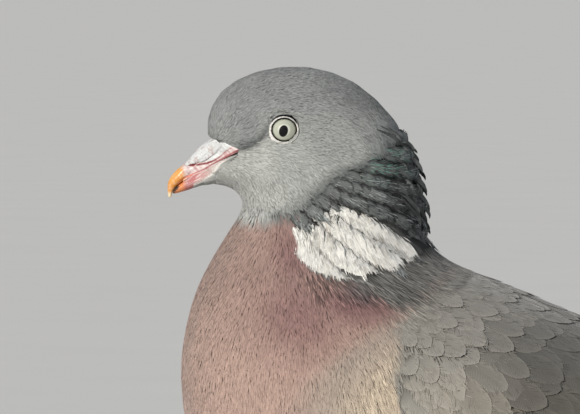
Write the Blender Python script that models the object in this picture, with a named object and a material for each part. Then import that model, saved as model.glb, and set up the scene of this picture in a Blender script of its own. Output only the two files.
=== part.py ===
"""A standing common wood pigeon (Columba palumbus) at life size, as a still museum model.

Metres, +Z up, +X towards the bill, +Y to the bird's left. The origin is on the floor, under the
middle of the bird's bounding box. Lengths below are written in millimetres and turned to metres
where a mesh is made. The bird is a set of lofts through named stations; the head, neck and trunk
are one loft, parted by thin cuts, and each solid that touches another is cut back from it.
"""

import math

import bmesh
import bpy
import numpy as np
from mathutils import Matrix, Vector

MM = 0.001
GAP = 0.3  # clearance between two pieces that touch

# Driving sizes of the bird
BILL_TIP_X = 170.3  # half of the bird's length from bill tip to tail tip
CROWN_Z = 236.0  # height of the crown above the floor
CROWN_X = BILL_TIP_X - 35.6  # the crown lies this far behind the bill tip

EYE_RADIUS = 5.5
EYE_CENTRE = (1.7, 9.5, -17.8)  # measured from the crown point, as is every place below

TARSUS_LENGTH = 31.0
TARSUS_RADIUS = 2.5
FOOT_PAD_RADIUS = 3.1
FOOT_PAD_HEIGHT = 2.5
FOOT_X = -70.0  # where the toes meet, behind the crown
FOOT_Y = 21.0  # half of the distance between the feet
ANKLE_BACK = 12.0  # the ankle stands this far behind the toes' joint
SHANK_FOOT_HEIGHT = 4.9  # where the shank's middle line starts, above the floor
SHANK_RISE = math.sqrt(TARSUS_LENGTH**2 - ANKLE_BACK**2)
KNEE = (-50.0, 17.0, 84.0)  # behind the crown, off the middle, above the floor

# Each station is one cross-section of the body. Its first two pairs are the throat-and-belly
# point and the back point in the side view, x forward of the crown and z above it. Then come the
# half width and the height of the widest place, from 0 at the belly to 1 at the back.
BODY = [
    ("bill_root", (26.0, -34.4), (22.9, -21.4), 4.3, 0.42),
    ("lores", (23.2, -35.1), (23.9, -15.6), 5.9, 0.46),
    ("forehead", (20.4, -35.5), (19.9, -7.3), 8.4, 0.48),
    ("eye_front", (17.7, -36.3), (9.6, -1.5), 11.2, 0.48),
    ("eye_back", (15.6, -37.6), (-5.0, -0.1), 13.2, 0.48),
    ("cheek", (14.3, -39.4), (-19.0, -4.7), 15.3, 0.47),
    ("nape", (13.7, -41.5), (-30.3, -15.2), 17.8, 0.46),
    ("upper_neck", (14.5, -44.2), (-37.6, -27.5), 20.4, 0.46),
    ("middle_neck", (17.4, -48.8), (-41.0, -41.0), 23.6, 0.47),
    ("lower_neck", (22.4, -56.6), (-42.6, -51.6), 28.0, 0.48),
    ("crop", (27.5, -66.4), (-45.6, -56.6), 33.8, 0.50),
    ("breast_top", (31.0, -78.6), (-50.8, -58.9), 39.6, 0.51),
    ("breast", (32.4, -93.0), (-58.2, -61.8), 44.6, 0.51),
    ("breast_low", (29.4, -113.0), (-68.4, -65.8), 48.2, 0.51),
    ("keel", (20.0, -137.0), (-81.2, -71.2), 50.6, 0.51),
    ("belly_front", (2.0, -160.0), (-97.0, -77.8), 51.8, 0.52),
    ("belly", (-26.0, -177.0), (-115.0, -85.2), 51.0, 0.53),
    ("thigh", (-62.0, -184.0), (-134.0, -93.6), 48.0, 0.55),
    ("flank", (-100.0, -179.5), (-153.0, -102.4), 42.6, 0.57),
    ("vent", (-135.0, -167.5), (-171.0, -110.8), 35.2, 0.58),
    ("rump", (-164.0, -155.5), (-188.0, -118.9), 27.4, 0.58),
    ("tail_coverts", (-190.0, -147.6), (-206.0, -127.0), 21.6, 0.56),
    ("tail_root", (-213.0, -144.6), (-223.0, -134.4), 18.0, 0.52),
]
BODY_SIDES = 24
BODY_STEPS = 2  # rings made between two stations

# The thin cuts that part the body's loft, each through two places in the side view.
HEAD_NECK_CUT = ((13.9, -40.8), (-34.6, -21.5))
NECK_TRUNK_CUT = ((24.6, -60.8), (-44.2, -55.0))

# Each wing station: upper edge, lower edge (side view), then how far out from the bird's middle
# the upper edge, the lower edge and the outermost place between them lie.
WING = [
    ("bend", (-31.5, -80.0), (-30.0, -90.0), 43.0, 43.5, 45.0),
    ("wrist", (-39.0, -69.5), (-34.0, -111.0), 34.0, 42.0, 51.0),
    ("forearm", (-55.0, -66.0), (-47.0, -131.0), 26.0, 42.0, 56.5),
    ("coverts", (-78.0, -72.0), (-67.0, -144.5), 20.0, 42.0, 60.0),
    ("elbow", (-102.0, -80.6), (-92.0, -152.0), 16.0, 41.0, 60.6),
    ("secondaries", (-127.0, -90.4), (-120.0, -155.0), 12.5, 38.0, 57.6),
    ("tertials", (-152.0, -101.0), (-147.0, -154.0), 9.5, 32.0, 50.0),
    ("tertial_tips", (-177.0, -111.6), (-174.0, -151.5), 7.0, 25.0, 40.0),
    ("wing_rear", (-200.0, -120.8), (-199.0, -149.0), 5.5, 19.5, 29.0),
    ("primary_base", (-222.0, -129.5), (-221.0, -147.0), 4.5, 16.0, 20.5),
    ("primary_middle", (-245.0, -137.2), (-244.5, -146.6), 3.5, 12.0, 14.0),
    ("primary_end", (-261.0, -144.0), (-261.0, -150.6), 3.2, 9.0, 10.0),
    ("wing_tip", (-268.5, -148.6), (-268.5, -151.6), 4.6, 7.0, 7.2),
]
WING_SIDES = 16
WING_THICKNESS = 9.0

# The nearly upright cut behind which the folded primaries show, as above.
PRIMARY_CUT = ((-214.0, -200.0), (-215.0, -100.0))

# Each tail station: distance behind the crown, height of the middle, half width, half thickness.
TAIL = [
    ("root", -206.0, -136.2, 16.0, 4.4),
    ("coverts_end", -226.0, -143.0, 20.5, 3.6),
    ("middle", -262.0, -155.2, 27.0, 2.6),
    ("band", -290.0, -164.2, 31.0, 2.0),
    ("rounded_end", -300.5, -167.4, 28.0, 1.5),
]
TAIL_END_ROUND = 4.5  # length of the rounded end's last strip
TAIL_ARCH = 0.06  # how far the middle rises, as a share of the half width
TAIL_SIDES = 14

# Each bill station: upper edge and lower edge in the side view, and half width.
BILL_UPPER = [
    ("hidden_root", (15.2, -20.4), (14.8, -24.6), 5.6),
    ("base", (22.6, -22.6), (19.4, -26.8), 5.3),
    ("nostril", (26.0, -24.8), (23.6, -29.2), 4.5),
    ("saddle", (30.3, -28.8), (28.2, -31.4), 3.3),
    ("nail", (33.2, -30.2), (31.0, -33.1), 3.0),
    ("hook", (35.4, -32.8), (32.8, -34.4), 2.5),
    ("hook_end", (36.0, -35.2), (34.3, -36.0), 1.6),
    ("tip", (35.7, -38.2), (35.1, -38.3), 0.45),
]
BILL_LOWER = [
    ("hidden_root", (14.6, -25.2), (16.4, -30.2), 5.2),
    ("base", (19.2, -27.1), (22.0, -34.2), 5.0),
    ("middle", (23.6, -29.6), (26.0, -34.7), 4.2),
    ("front", (28.2, -31.8), (29.4, -35.9), 2.9),
    ("gonys", (30.9, -33.4), (32.2, -36.8), 2.1),
    ("tip", (32.8, -34.8), (33.5, -36.7), 1.0),
]
BILL_SIDES = 12

# The cere, the soft white swelling over each nostril: it sits on the bill as one low saddle.
CERE = [
    ("root", (22.7, -20.9), (19.2, -24.4), 5.6),
    ("crest", (24.5, -21.9), (21.6, -26.8), 5.7),
    ("swell", (27.0, -23.9), (23.8, -28.2), 5.1),
    ("slope", (29.2, -26.6), (26.6, -29.0), 4.1),
    ("front", (30.9, -28.5), (29.6, -29.5), 2.6),
]

# Toes: name, direction from straight ahead (positive is outwards), length without the claw, and
# how far from the joint of the foot the toe starts.
TOES = [
    ("middle", 4.0, 30.0, 2.9),
    ("inner", -38.0, 22.5, 2.9),
    ("outer", 42.0, 24.0, 2.9),
    ("hind", 172.0, 14.0, 3.3),
]
TOE_RADIUS = 2.3
TOE_FLAT = 0.6  # how far a toe's underside is cut flat
TOE_TAPER = 0.38
TOE_PADS = 3
PAD_SWELL = 0.09
TOE_SIDES = 8

CLAW_LENGTH = 7.0
CLAW_RADIUS = 1.35
CLAW_TAPER = 0.82
CLAW_TURN = 1.35  # how far the claw curves down, in radians
CLAW_HUMP = 1.5
CLAW_SINK = 0.25
CLAW_STEPS = 4

# Colours: linear red, green and blue
GREY_HEAD = (0.30, 0.32, 0.33)
GREY_NECK = (0.22, 0.25, 0.25)
MAUVE_BREAST = (0.36, 0.25, 0.22)
BROWN_WING = (0.21, 0.19, 0.16)
DARK_FLIGHT = (0.06, 0.06, 0.06)
GREY_TAIL = (0.18, 0.19, 0.20)
ORANGE_HORN = (0.80, 0.42, 0.12)
ROSE_HORN = (0.55, 0.20, 0.18)
WHITE_CERE = (0.75, 0.70, 0.66)
PALE_IRIS = (0.66, 0.68, 0.48)
RED_LEG = (0.42, 0.12, 0.11)
DARK_CLAW = (0.05, 0.04, 0.04)


def clear_scene():
    for obj in list(bpy.data.objects):
        bpy.data.objects.remove(obj)


def material(name, colour, roughness):
    made = bpy.data.materials.new(name)
    made.use_nodes = True
    shader = made.node_tree.nodes["Principled BSDF"]
    shader.inputs["Base Color"].default_value = (*colour, 1.0)
    shader.inputs["Roughness"].default_value = roughness
    shader.inputs["Metallic"].default_value = 0.0
    return made


def place(x, y, z):
    """A place given from the crown, in millimetres, as a place in the bird's frame, in metres."""
    return Vector(((x + CROWN_X) * MM, y * MM, (z + CROWN_Z) * MM))


def smooth_rows(rows, steps):
    """A Catmull-Rom curve through rows of numbers, with this many steps between two rows."""
    rows = np.array(rows, float)
    ends = np.vstack([2 * rows[0] - rows[1], rows, 2 * rows[-1] - rows[-2]])
    made = []
    for i in range(len(rows) - 1):
        a, b, c, d = ends[i : i + 4]
        for k in range(steps):
            t = k / steps
            made.append(
                0.5 * (2 * b + (c - a) * t + (2 * a - 5 * b + 4 * c - d) * t**2
                       + (3 * b - a - 3 * c + d) * t**3)
            )
    made.append(rows[-1])
    return made


def object_from(name, mesh_maker, finish):
    """A new object whose mesh is the given bmesh, closed, facing out and smooth."""
    mesh = bpy.data.meshes.new(name)
    bmesh.ops.recalc_face_normals(mesh_maker, faces=mesh_maker.faces)
    mesh_maker.to_mesh(mesh)
    mesh_maker.free()
    mesh.shade_smooth()
    mesh.set_sharp_from_angle(angle=math.radians(40))
    mesh.materials.append(finish)
    obj = bpy.data.objects.new(name, mesh)
    bpy.context.scene.collection.objects.link(obj)
    return obj


def skin_rings(rings):
    """A closed bmesh over rings that have the same number of points, with a cap at each end."""
    made = bmesh.new()
    loops = [[made.verts.new(point) for point in ring] for ring in rings]
    sides = len(loops[0])
    for near, far in zip(loops, loops[1:]):
        for i in range(sides):
            j = (i + 1) % sides
            made.faces.new((near[i], near[j], far[j], far[i]))
    made.faces.new(loops[0][::-1])
    made.faces.new(loops[-1])
    return made


def oval_ring(lower, upper, half_width, widest, sides, squareness=2.0, side_shift=0.0):
    """One cross-section: an oval from its lower to its upper point, widest at the given height."""
    warp = math.log(widest) / math.log(0.5)
    ring = []
    for i in range(sides):
        angle = 2 * math.pi * (i + 0.5) / sides
        height = (0.5 - 0.5 * math.cos(angle)) ** warp
        out = math.copysign(abs(math.sin(angle)) ** (2 / squareness), math.sin(angle))
        ring.append(
            place(
                lower[0] + (upper[0] - lower[0]) * height,
                side_shift + half_width * out,
                lower[1] + (upper[1] - lower[1]) * height,
            )
        )
    return ring


def loft_ovals(stations, sides, steps):
    """A loft through stations of (name, lower point, upper point, half width, widest height)."""
    rows = [(*low, *high, half, widest) for _, low, high, half, widest in stations]
    return skin_rings(
        oval_ring(row[0:2], row[2:4], row[4], row[5], sides)
        for row in smooth_rows(rows, steps)
    )


def part_between(whole, name, finish, near=None, far=None):
    """The piece of a closed bmesh between two cuts, each given by two places in the side view.

    What lies ahead of the near cut and behind the far cut is taken away. A cut's first place is
    its lower or front one, so that its normal points towards the bill.
    """
    piece = whole.copy()
    for cut, side in ((near, 1), (far, -1)):
        if cut is None:
            continue
        first, last = (place(x, 0, z) for x, z in cut)
        normal = Vector((0, 1, 0)).cross(last - first).normalized() * side
        bmesh.ops.bisect_plane(
            piece,
            geom=piece.verts[:] + piece.edges[:] + piece.faces[:],
            plane_co=first - normal * GAP / 2 * MM,
            plane_no=normal,
            clear_outer=True,
        )
        bmesh.ops.holes_fill(piece, edges=[edge for edge in piece.edges if edge.is_boundary])
    return object_from(name, piece, finish)


def grown_copy(obj, by):
    """A hidden copy of an object whose surface stands further out, to cut others back with."""
    cutter = obj.copy()
    cutter.data = obj.data.copy()
    cutter.name = obj.name + "_cutter"
    cutter.modifiers.clear()
    bpy.context.scene.collection.objects.link(cutter)
    made = bmesh.new()
    made.from_mesh(cutter.data)
    bmesh.ops.recalc_face_normals(made, faces=made.faces)
    made.normal_update()
    moves = [vert.normal * by * MM * vert.calc_shell_factor() for vert in made.verts]
    for vert, move in zip(made.verts, moves):
        vert.co += move
    made.to_mesh(cutter.data)
    made.free()
    cutter.hide_render = True
    cutter.display_type = "WIRE"
    return cutter


def cut_back(obj, *others, by=GAP):
    """Takes the others, grown by a small clearance, away from the object."""
    for other in others:
        cutter = grown_copy(other, by)
        cut = obj.modifiers.new("clear_" + other.name, "BOOLEAN")
        cut.operation = "DIFFERENCE"
        cut.solver = "EXACT"
        cut.object = cutter


def make_eye(side, finish):
    x, y, z = EYE_CENTRE
    made = bmesh.new()
    bmesh.ops.create_uvsphere(made, u_segments=14, v_segments=8, radius=EYE_RADIUS * MM)
    bmesh.ops.rotate(made, verts=made.verts, matrix=Matrix.Rotation(math.pi / 2, 3, "X"))
    bmesh.ops.translate(made, verts=made.verts, vec=place(x, side * y, z))
    return object_from("eye_left" if side > 0 else "eye_right", made, finish)


def make_bill_piece(name, stations, widest, finish):
    rows = [(*low, *high, half) for _, high, low, half in stations]
    rings = [
        oval_ring(row[0:2], row[2:4], row[4], widest, BILL_SIDES, squareness=2.4)
        for row in smooth_rows(rows, 2)
    ]
    return object_from(name, skin_rings(rings), finish)


def wing_ring(row, side):
    """One section of the folded wing: a thick curved band from its upper to its lower edge."""
    upper, lower = row[0:2], row[2:4]
    upper_out, lower_out, middle_out = row[4:7]
    bulge = middle_out - (upper_out + lower_out) / 2
    half = WING_SIDES // 2
    ring = []
    for i in range(WING_SIDES):
        outer = i < half
        share = i / half if outer else (WING_SIDES - i) / half
        arch = math.sin(math.pi * share) ** 0.8
        inset = 0.0 if outer else min(WING_THICKNESS, 0.7 * bulge) * arch
        ring.append(
            place(
                upper[0] + (lower[0] - upper[0]) * share,
                side * (upper_out + (lower_out - upper_out) * share + bulge * arch - inset),
                upper[1] + (lower[1] - upper[1]) * share,
            )
        )
    return ring


def make_wing(side, finish_wing, finish_primaries):
    """The folded wing and, behind it, the folded primaries, as two solids."""
    rows = [(*high, *low, *outs) for _, high, low, *outs in WING]
    whole = skin_rings(wing_ring(row, side) for row in smooth_rows(rows, 2))
    bmesh.ops.recalc_face_normals(whole, faces=whole.faces)
    word = "left" if side > 0 else "right"
    wing = part_between(whole, "wing_" + word, finish_wing, far=PRIMARY_CUT)
    primaries = part_between(whole, "primaries_" + word, finish_primaries, near=PRIMARY_CUT)
    whole.free()
    return wing, primaries


def make_tail(finish):
    """The closed tail: a thin, slightly arched slab with a rounded end."""
    rows = smooth_rows([row[1:] for row in TAIL], 2)
    end_x, end_z, end_half, end_thick = rows[-1]
    for share in (0.45, 0.8, 1.0):
        shrink = math.sqrt(1 - 0.9 * share**2)
        rows.append(
            np.array(
                (
                    end_x - TAIL_END_ROUND * share,
                    end_z - TAIL_END_ROUND * 0.3 * share,
                    end_half * (0.55 + 0.45 * shrink),
                    end_thick * (0.7 + 0.3 * shrink),
                )
            )
        )
    rings = []
    for x, z, half, thick in rows:
        ring = []
        for i in range(TAIL_SIDES):
            angle = 2 * math.pi * i / TAIL_SIDES
            across = math.cos(angle)
            arch = TAIL_ARCH * half * (1 - across**2)
            round_edge = math.copysign(abs(math.sin(angle)) ** 0.5, math.sin(angle))
            ring.append(place(x, half * across, z + arch + thick * round_edge))
        rings.append(ring)
    return object_from("tail", skin_rings(rings), finish)


def tube_rings(centres, radii, sides, flatten=1.0):
    """Rings round a line of places, each turned square to the line."""
    rings = []
    for i, (centre, radius) in enumerate(zip(centres, radii)):
        ahead = centres[min(i + 1, len(centres) - 1)] - centres[max(i - 1, 0)]
        ahead.normalize()
        across = ahead.cross(Vector((0, 0, 1)))
        if across.length < 1e-6:
            across = Vector((0, 1, 0))
        across.normalize()
        rise = across.cross(ahead).normalized()
        rings.append(
            [
                centre
                + across * radius * math.cos(2 * math.pi * k / sides)
                + rise * radius * flatten * math.sin(2 * math.pi * k / sides)
                for k in range(sides)
            ]
        )
    return rings


def floor_place(x, y, height):
    """A place given by its distance behind the crown, off the middle and above the floor."""
    return Vector(((x + CROWN_X) * MM, y * MM, height * MM))


def make_tarsus(side, finish):
    """The bare, scaled shank, from the toes' joint up and back to the ankle."""
    foot = floor_place(FOOT_X, side * FOOT_Y, SHANK_FOOT_HEIGHT)
    ankle = floor_place(FOOT_X - ANKLE_BACK, side * FOOT_Y, SHANK_FOOT_HEIGHT + SHANK_RISE)
    shares = (0.0, 0.12, 0.3, 0.6, 0.85, 1.0)
    swells = (1.05, 1.0, 0.88, 0.9, 1.1, 1.25)
    centres = [foot.lerp(ankle, share) for share in shares]
    radii = [TARSUS_RADIUS * MM * swell for swell in swells]
    rings = tube_rings(centres, radii, 10, 1.15)
    return object_from("tarsus_left" if side > 0 else "tarsus_right", skin_rings(rings), finish)


def make_thigh(side, finish):
    """The feathered leg above the ankle, which widens into the belly."""
    ankle = floor_place(FOOT_X - ANKLE_BACK, side * FOOT_Y, SHANK_FOOT_HEIGHT + SHANK_RISE + GAP)
    knee = floor_place(KNEE[0], side * KNEE[1], KNEE[2])
    shares = (0.0, 0.08, 0.22, 0.4, 0.65, 1.0)
    radii = [radius * MM for radius in (3.9, 5.4, 7.4, 9.6, 12.0, 13.5)]
    centres = [ankle.lerp(knee, share) for share in shares]
    rings = tube_rings(centres, radii, 14)
    for point in rings[0] + rings[1]:
        point.z = max(point.z, ankle.z)
    return object_from("thigh_left" if side > 0 else "thigh_right", skin_rings(rings), finish)


def make_toe(side, name, turn, length, start, finish_toe, finish_claw):
    """One toe with its pads, and its claw, both cut flat where they stand on the floor."""
    word = "left" if side > 0 else "right"
    heading = Matrix.Rotation(math.radians(side * turn), 3, "Z") @ Vector((1, 0, 0))
    joint = floor_place(FOOT_X, side * FOOT_Y, 0)
    centres = []
    radii = []
    for i in range(TOE_PADS * 2 + 1):
        share = i / (TOE_PADS * 2)
        pad = 1.0 + PAD_SWELL * math.cos(share * TOE_PADS * 2 * math.pi)
        radius = TOE_RADIUS * (1.0 - TOE_TAPER * share) * pad
        along = start + (length - start) * share
        centres.append(joint + (heading * along + Vector((0, 0, radius - TOE_FLAT))) * MM)
        radii.append(radius * MM)
    toe = skin_rings(tube_rings(centres, radii, TOE_SIDES))
    flatten_underside(toe)
    toe_object = object_from(f"toe_{name}_{word}", toe, finish_toe)

    centres = []
    radii = []
    for i in range(CLAW_STEPS + 1):
        share = i / CLAW_STEPS
        along = length + GAP + CLAW_LENGTH * math.sin(share * CLAW_TURN) / math.sin(CLAW_TURN)
        radius = CLAW_RADIUS * (1.0 - CLAW_TAPER * share)
        hump = CLAW_HUMP * math.sin(math.pi * min(share, 0.62)) * (1 - share)
        centres.append(joint + (heading * along + Vector((0, 0, hump + radius - CLAW_SINK))) * MM)
        radii.append(radius * MM)
    claw = skin_rings(tube_rings(centres, radii, 6))
    flatten_underside(claw)
    claw_object = object_from(f"claw_{name}_{word}", claw, finish_claw)
    return toe_object, claw_object


def flatten_underside(made):
    """Cuts away what reaches below the floor and closes the flat."""
    bmesh.ops.bisect_plane(
        made,
        geom=made.verts[:] + made.edges[:] + made.faces[:],
        plane_co=(0, 0, 0),
        plane_no=(0, 0, -1),
        clear_outer=True,
    )
    bmesh.ops.holes_fill(made, edges=[edge for edge in made.edges if edge.is_boundary])


def make_foot_joint(side, finish):
    """The small pad under the shank, from which the toes spread."""
    made = bmesh.new()
    bmesh.ops.create_uvsphere(made, u_segments=8, v_segments=6, radius=FOOT_PAD_RADIUS * MM)
    centre = floor_place(FOOT_X, side * FOOT_Y, FOOT_PAD_HEIGHT)
    bmesh.ops.translate(made, verts=made.verts, vec=centre)
    flatten_underside(made)
    return object_from("foot_left" if side > 0 else "foot_right", made, finish)


def build():
    clear_scene()
    grey = material("head_plumage", GREY_HEAD, 0.8)
    neck_grey = material("neck_plumage", GREY_NECK, 0.7)
    mauve = material("breast_plumage", MAUVE_BREAST, 0.85)
    brown = material("wing_plumage", BROWN_WING, 0.75)
    dark = material("flight_feathers", DARK_FLIGHT, 0.6)
    tail_grey = material("tail_feathers", GREY_TAIL, 0.65)
    orange = material("bill_horn", ORANGE_HORN, 0.35)
    rose = material("lower_bill_horn", ROSE_HORN, 0.4)
    white = material("cere_skin", WHITE_CERE, 0.7)
    iris = material("eye", PALE_IRIS, 0.08)
    red = material("leg_skin", RED_LEG, 0.55)
    claw = material("claw_horn", DARK_CLAW, 0.4)

    whole = loft_ovals(BODY, BODY_SIDES, BODY_STEPS)
    bmesh.ops.recalc_face_normals(whole, faces=whole.faces)
    head = part_between(whole, "head", grey, far=HEAD_NECK_CUT)
    neck = part_between(whole, "neck", neck_grey, near=HEAD_NECK_CUT, far=NECK_TRUNK_CUT)
    trunk = part_between(whole, "trunk", mauve, near=NECK_TRUNK_CUT)
    whole.free()

    lower = make_bill_piece("bill_lower", BILL_LOWER, 0.55, rose)
    upper = make_bill_piece("bill_upper", BILL_UPPER, 0.4, orange)
    cere = make_bill_piece("cere", CERE, 0.42, white)
    cut_back(upper, lower)
    cut_back(cere, upper, lower)
    eyes = [make_eye(side, iris) for side in (1, -1)]
    cut_back(head, upper, lower, cere, *eyes)

    tail = make_tail(tail_grey)
    cut_back(tail, trunk)
    for side in (1, -1):
        tarsus = make_tarsus(side, red)
        foot = make_foot_joint(side, red)
        cut_back(tarsus, foot)
        thigh = make_thigh(side, mauve)
        cut_back(thigh, trunk, tarsus)
        wing, primaries = make_wing(side, brown, dark)
        cut_back(wing, trunk, neck, tail, thigh)
        cut_back(primaries, trunk, tail)
        toes = []
        for name, turn, length, start in TOES:
            toe, _ = make_toe(side, name, turn, length, start, red, claw)
            cut_back(toe, foot, *toes)
            toes.append(toe)


build()
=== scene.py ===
"""A standing common wood pigeon: skin, plumage, eyes, bill and legs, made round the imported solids.

Lengths in the code are millimetres, measured from the crown of the head: x forwards, y to the
bird's left, z up. They are turned to metres where a mesh is made.
"""

import itertools
import math

import bpy
import numpy as np
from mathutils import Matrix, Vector
from mathutils.bvhtree import BVHTree
from mathutils.kdtree import KDTree


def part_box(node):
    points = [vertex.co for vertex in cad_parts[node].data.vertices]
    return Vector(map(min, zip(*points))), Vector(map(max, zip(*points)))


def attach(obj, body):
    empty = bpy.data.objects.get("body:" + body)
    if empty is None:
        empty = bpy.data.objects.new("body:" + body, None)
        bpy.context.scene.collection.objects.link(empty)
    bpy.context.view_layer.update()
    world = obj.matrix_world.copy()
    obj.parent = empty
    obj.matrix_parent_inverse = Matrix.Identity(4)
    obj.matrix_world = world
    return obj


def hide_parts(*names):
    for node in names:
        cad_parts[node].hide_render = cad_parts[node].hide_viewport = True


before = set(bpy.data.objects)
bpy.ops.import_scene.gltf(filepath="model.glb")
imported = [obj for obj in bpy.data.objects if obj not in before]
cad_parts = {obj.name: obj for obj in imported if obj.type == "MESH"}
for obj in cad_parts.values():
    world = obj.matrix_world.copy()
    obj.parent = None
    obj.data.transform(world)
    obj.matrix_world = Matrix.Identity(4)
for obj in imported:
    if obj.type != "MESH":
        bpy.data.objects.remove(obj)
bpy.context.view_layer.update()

bl_info = {
    "name": "Wood Pigeon",
    "version": (1, 0, 0),
    "blender": (4, 5, 0),
    "location": "View3D > Sidebar > Pigeon",
    "description": "Skin, feathers, eyes, bill and legs of a standing wood pigeon",
    "category": "Object",
}

MM = 0.001
HOOK_AHEAD = 36.0  # the bill's hook reaches this far ahead of the crown
CROWN = np.array(
    (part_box("bill_upper")[1].x / MM - HOOK_AHEAD, 0.0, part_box("head")[1].z / MM + 0.2)
)
FLESH = ["head", "neck", "trunk"] + [
    f"{part}_{side}" for part in ("thigh", "wing", "primaries") for side in ("left", "right")
]
SIDES = ((1, "left"), (-1, "right"))
FAR_OUT = 150.0  # a place well outside the bird, from which rays are cast


# ---------------------------------------------------------------- colours and small helpers


def srgb(code):
    """A hex sRGB colour as linear red, green and blue."""
    parts = [int(code[i : i + 2], 16) / 255 for i in (1, 3, 5)]
    return tuple(c / 12.92 if c <= 0.04045 else ((c + 0.055) / 1.055) ** 2.4 for c in parts)


def unit(vectors):
    return vectors / np.maximum(np.linalg.norm(vectors, axis=-1, keepdims=True), 1e-9)


def dot(a, b):
    return (a * b).sum(-1, keepdims=True)


def smooth(value, low, high):
    """0 below low, 1 above high, and an even rise between them; low may be above high."""
    t = np.clip((value - low) / (high - low), 0.0, 1.0)
    return t * t * (3 - 2 * t)


def mix(a, b, share):
    share = np.asarray(share)[..., None]
    return np.asarray(a) * (1 - share) + np.asarray(b) * share


def mixed(a, b, share):
    return a + (b - a) * share


def layered(shade, *layers):
    """Colours laid over each other, from pairs of a colour and its share at each place."""
    for colour, share in layers:
        shade = mix(shade, colour, share)
    return shade


def spot_at(points, x, z, wide, high):
    """1 at a place in the side view, falling to 0 over about these distances."""
    return np.exp(-(((points[:, 0] - x) / wide) ** 2 + ((points[:, 2] - z) / high) ** 2))


def heading(fall):
    """Directions in the side view, from their angles below the backward horizontal."""
    return np.stack([-np.cos(fall), -np.sin(fall)], axis=-1)


def ripple(points, size, seed):
    """Smooth noise from -1 to 1 whose patches are about this size."""
    rng = np.random.default_rng(seed)
    total = np.zeros(len(points))
    for _ in range(7):
        wave = rng.normal(size=3)
        wave *= 2 * math.pi / (size * rng.uniform(0.8, 2.2) * np.linalg.norm(wave))
        total += np.sin(points @ wave + rng.uniform(0, 2 * math.pi))
    return np.clip(total / 3.2, -1, 1)


def deselect():
    if bpy.context.object and bpy.context.object.mode != "OBJECT":
        bpy.ops.object.mode_set(mode="OBJECT")
    bpy.ops.object.select_all(action="DESELECT")


def make_active(obj):
    deselect()
    obj.select_set(True)
    bpy.context.view_layer.objects.active = obj


def apply_modifier(obj, kind, **settings):
    make_active(obj)
    modifier = obj.modifiers.new(kind.title(), kind)
    for name, value in settings.items():
        setattr(modifier, name, value)
    bpy.ops.object.modifier_apply(modifier=modifier.name)


def points_of(obj):
    """An object's vertices, from the crown, in millimetres."""
    places = np.empty(len(obj.data.vertices) * 3)
    obj.data.vertices.foreach_get("co", places)
    return places.reshape(-1, 3) / MM - CROWN


def move_points(obj, places):
    obj.data.vertices.foreach_set("co", ((places + CROWN) * MM).ravel())
    obj.data.update()


def normals_of(obj):
    normals = np.empty(len(obj.data.vertices) * 3)
    obj.data.vertex_normals.foreach_get("vector", normals)
    return normals.reshape(-1, 3)


def faces_of(obj):
    """An object's faces as triangles."""
    obj.data.calc_loop_triangles()
    corners = np.empty(len(obj.data.loop_triangles) * 3, np.int32)
    obj.data.loop_triangles.foreach_get("vertices", corners)
    return corners.reshape(-1, 3)


def paint(mesh, name, colours):
    """A colour for each vertex, as a named attribute that materials read."""
    layer = mesh.color_attributes.new(name, "FLOAT_COLOR", "POINT")
    rgba = np.ones((len(mesh.vertices), 4), np.float32)
    rgba[:, :3] = np.clip(colours, 0, 1)
    layer.data.foreach_set("color", rgba.ravel())


def finish_piece(obj, material, replaced=()):
    obj.data.materials.append(material)
    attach(obj, "root")
    if replaced:
        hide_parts(*replaced)


# ---------------------------------------------------------------- materials


def node(tree, kind, settings=None, links=None, stops=()):
    """Adds a node, sets its fields and unlinked sockets, and links its inputs.

    A colour ramp takes stops as well: pairs of place and hex colour.
    """
    made = tree.nodes.new(kind)
    for name, value in (settings or {}).items():
        if isinstance(name, str) and hasattr(made, name):
            setattr(made, name, value)
        else:
            made.inputs[name].default_value = value
    for name, source in (links or {}).items():
        tree.links.new(made.inputs[name], source)
    if stops:
        elements = made.color_ramp.elements
        while len(elements) < len(stops):
            elements.new(1.0)
        for element, (place, code) in zip(elements, stops):
            element.position = place
            element.color = (*srgb(code), 1.0)
    return made


def new_material(name, **settings):
    """A material with one Principled shader, whose plain sockets are set here."""
    made = bpy.data.materials.new(name)
    made.use_nodes = True
    shader = made.node_tree.nodes["Principled BSDF"]
    for socket, value in settings.items():
        shader.inputs[socket.replace("_", " ")].default_value = value
    return made, made.node_tree, shader


def link_shader(tree, shader, **sources):
    for socket, source in sources.items():
        tree.links.new(shader.inputs[socket.replace("_", " ")], source)


def grained_material(name, layer, grain, bump, lights=None, stretch=None, **settings):
    """Painted colours under a fine grain, which raises the surface and may shade it too.

    The grain's scale is a count of grains, given here by the millimetre.
    """
    made, tree, shader = new_material(name, **settings)
    shade = node(tree, "ShaderNodeVertexColor", {"layer_name": layer}).outputs["Color"]
    place = node(tree, "ShaderNodeTexCoord").outputs["Object"]
    if stretch:
        place = node(tree, "ShaderNodeMapping", stretch, {"Vector": place}).outputs[0]
    height = node(tree, "ShaderNodeTexNoise", grain, {"Vector": place}).outputs["Fac"]
    if lights:
        low, high = lights
        light = node(tree, "ShaderNodeMapRange", {"To Min": low, "To Max": high}, {"Value": height})
        shade = node(
            tree, "ShaderNodeVectorMath", {"operation": "SCALE"},
            {0: shade, "Scale": light.outputs[0]},
        ).outputs[0]
    raised = node(tree, "ShaderNodeBump", bump, {"Height": height})
    link_shader(tree, shader, Base_Color=shade, Normal=raised.outputs[0])
    return made


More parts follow.
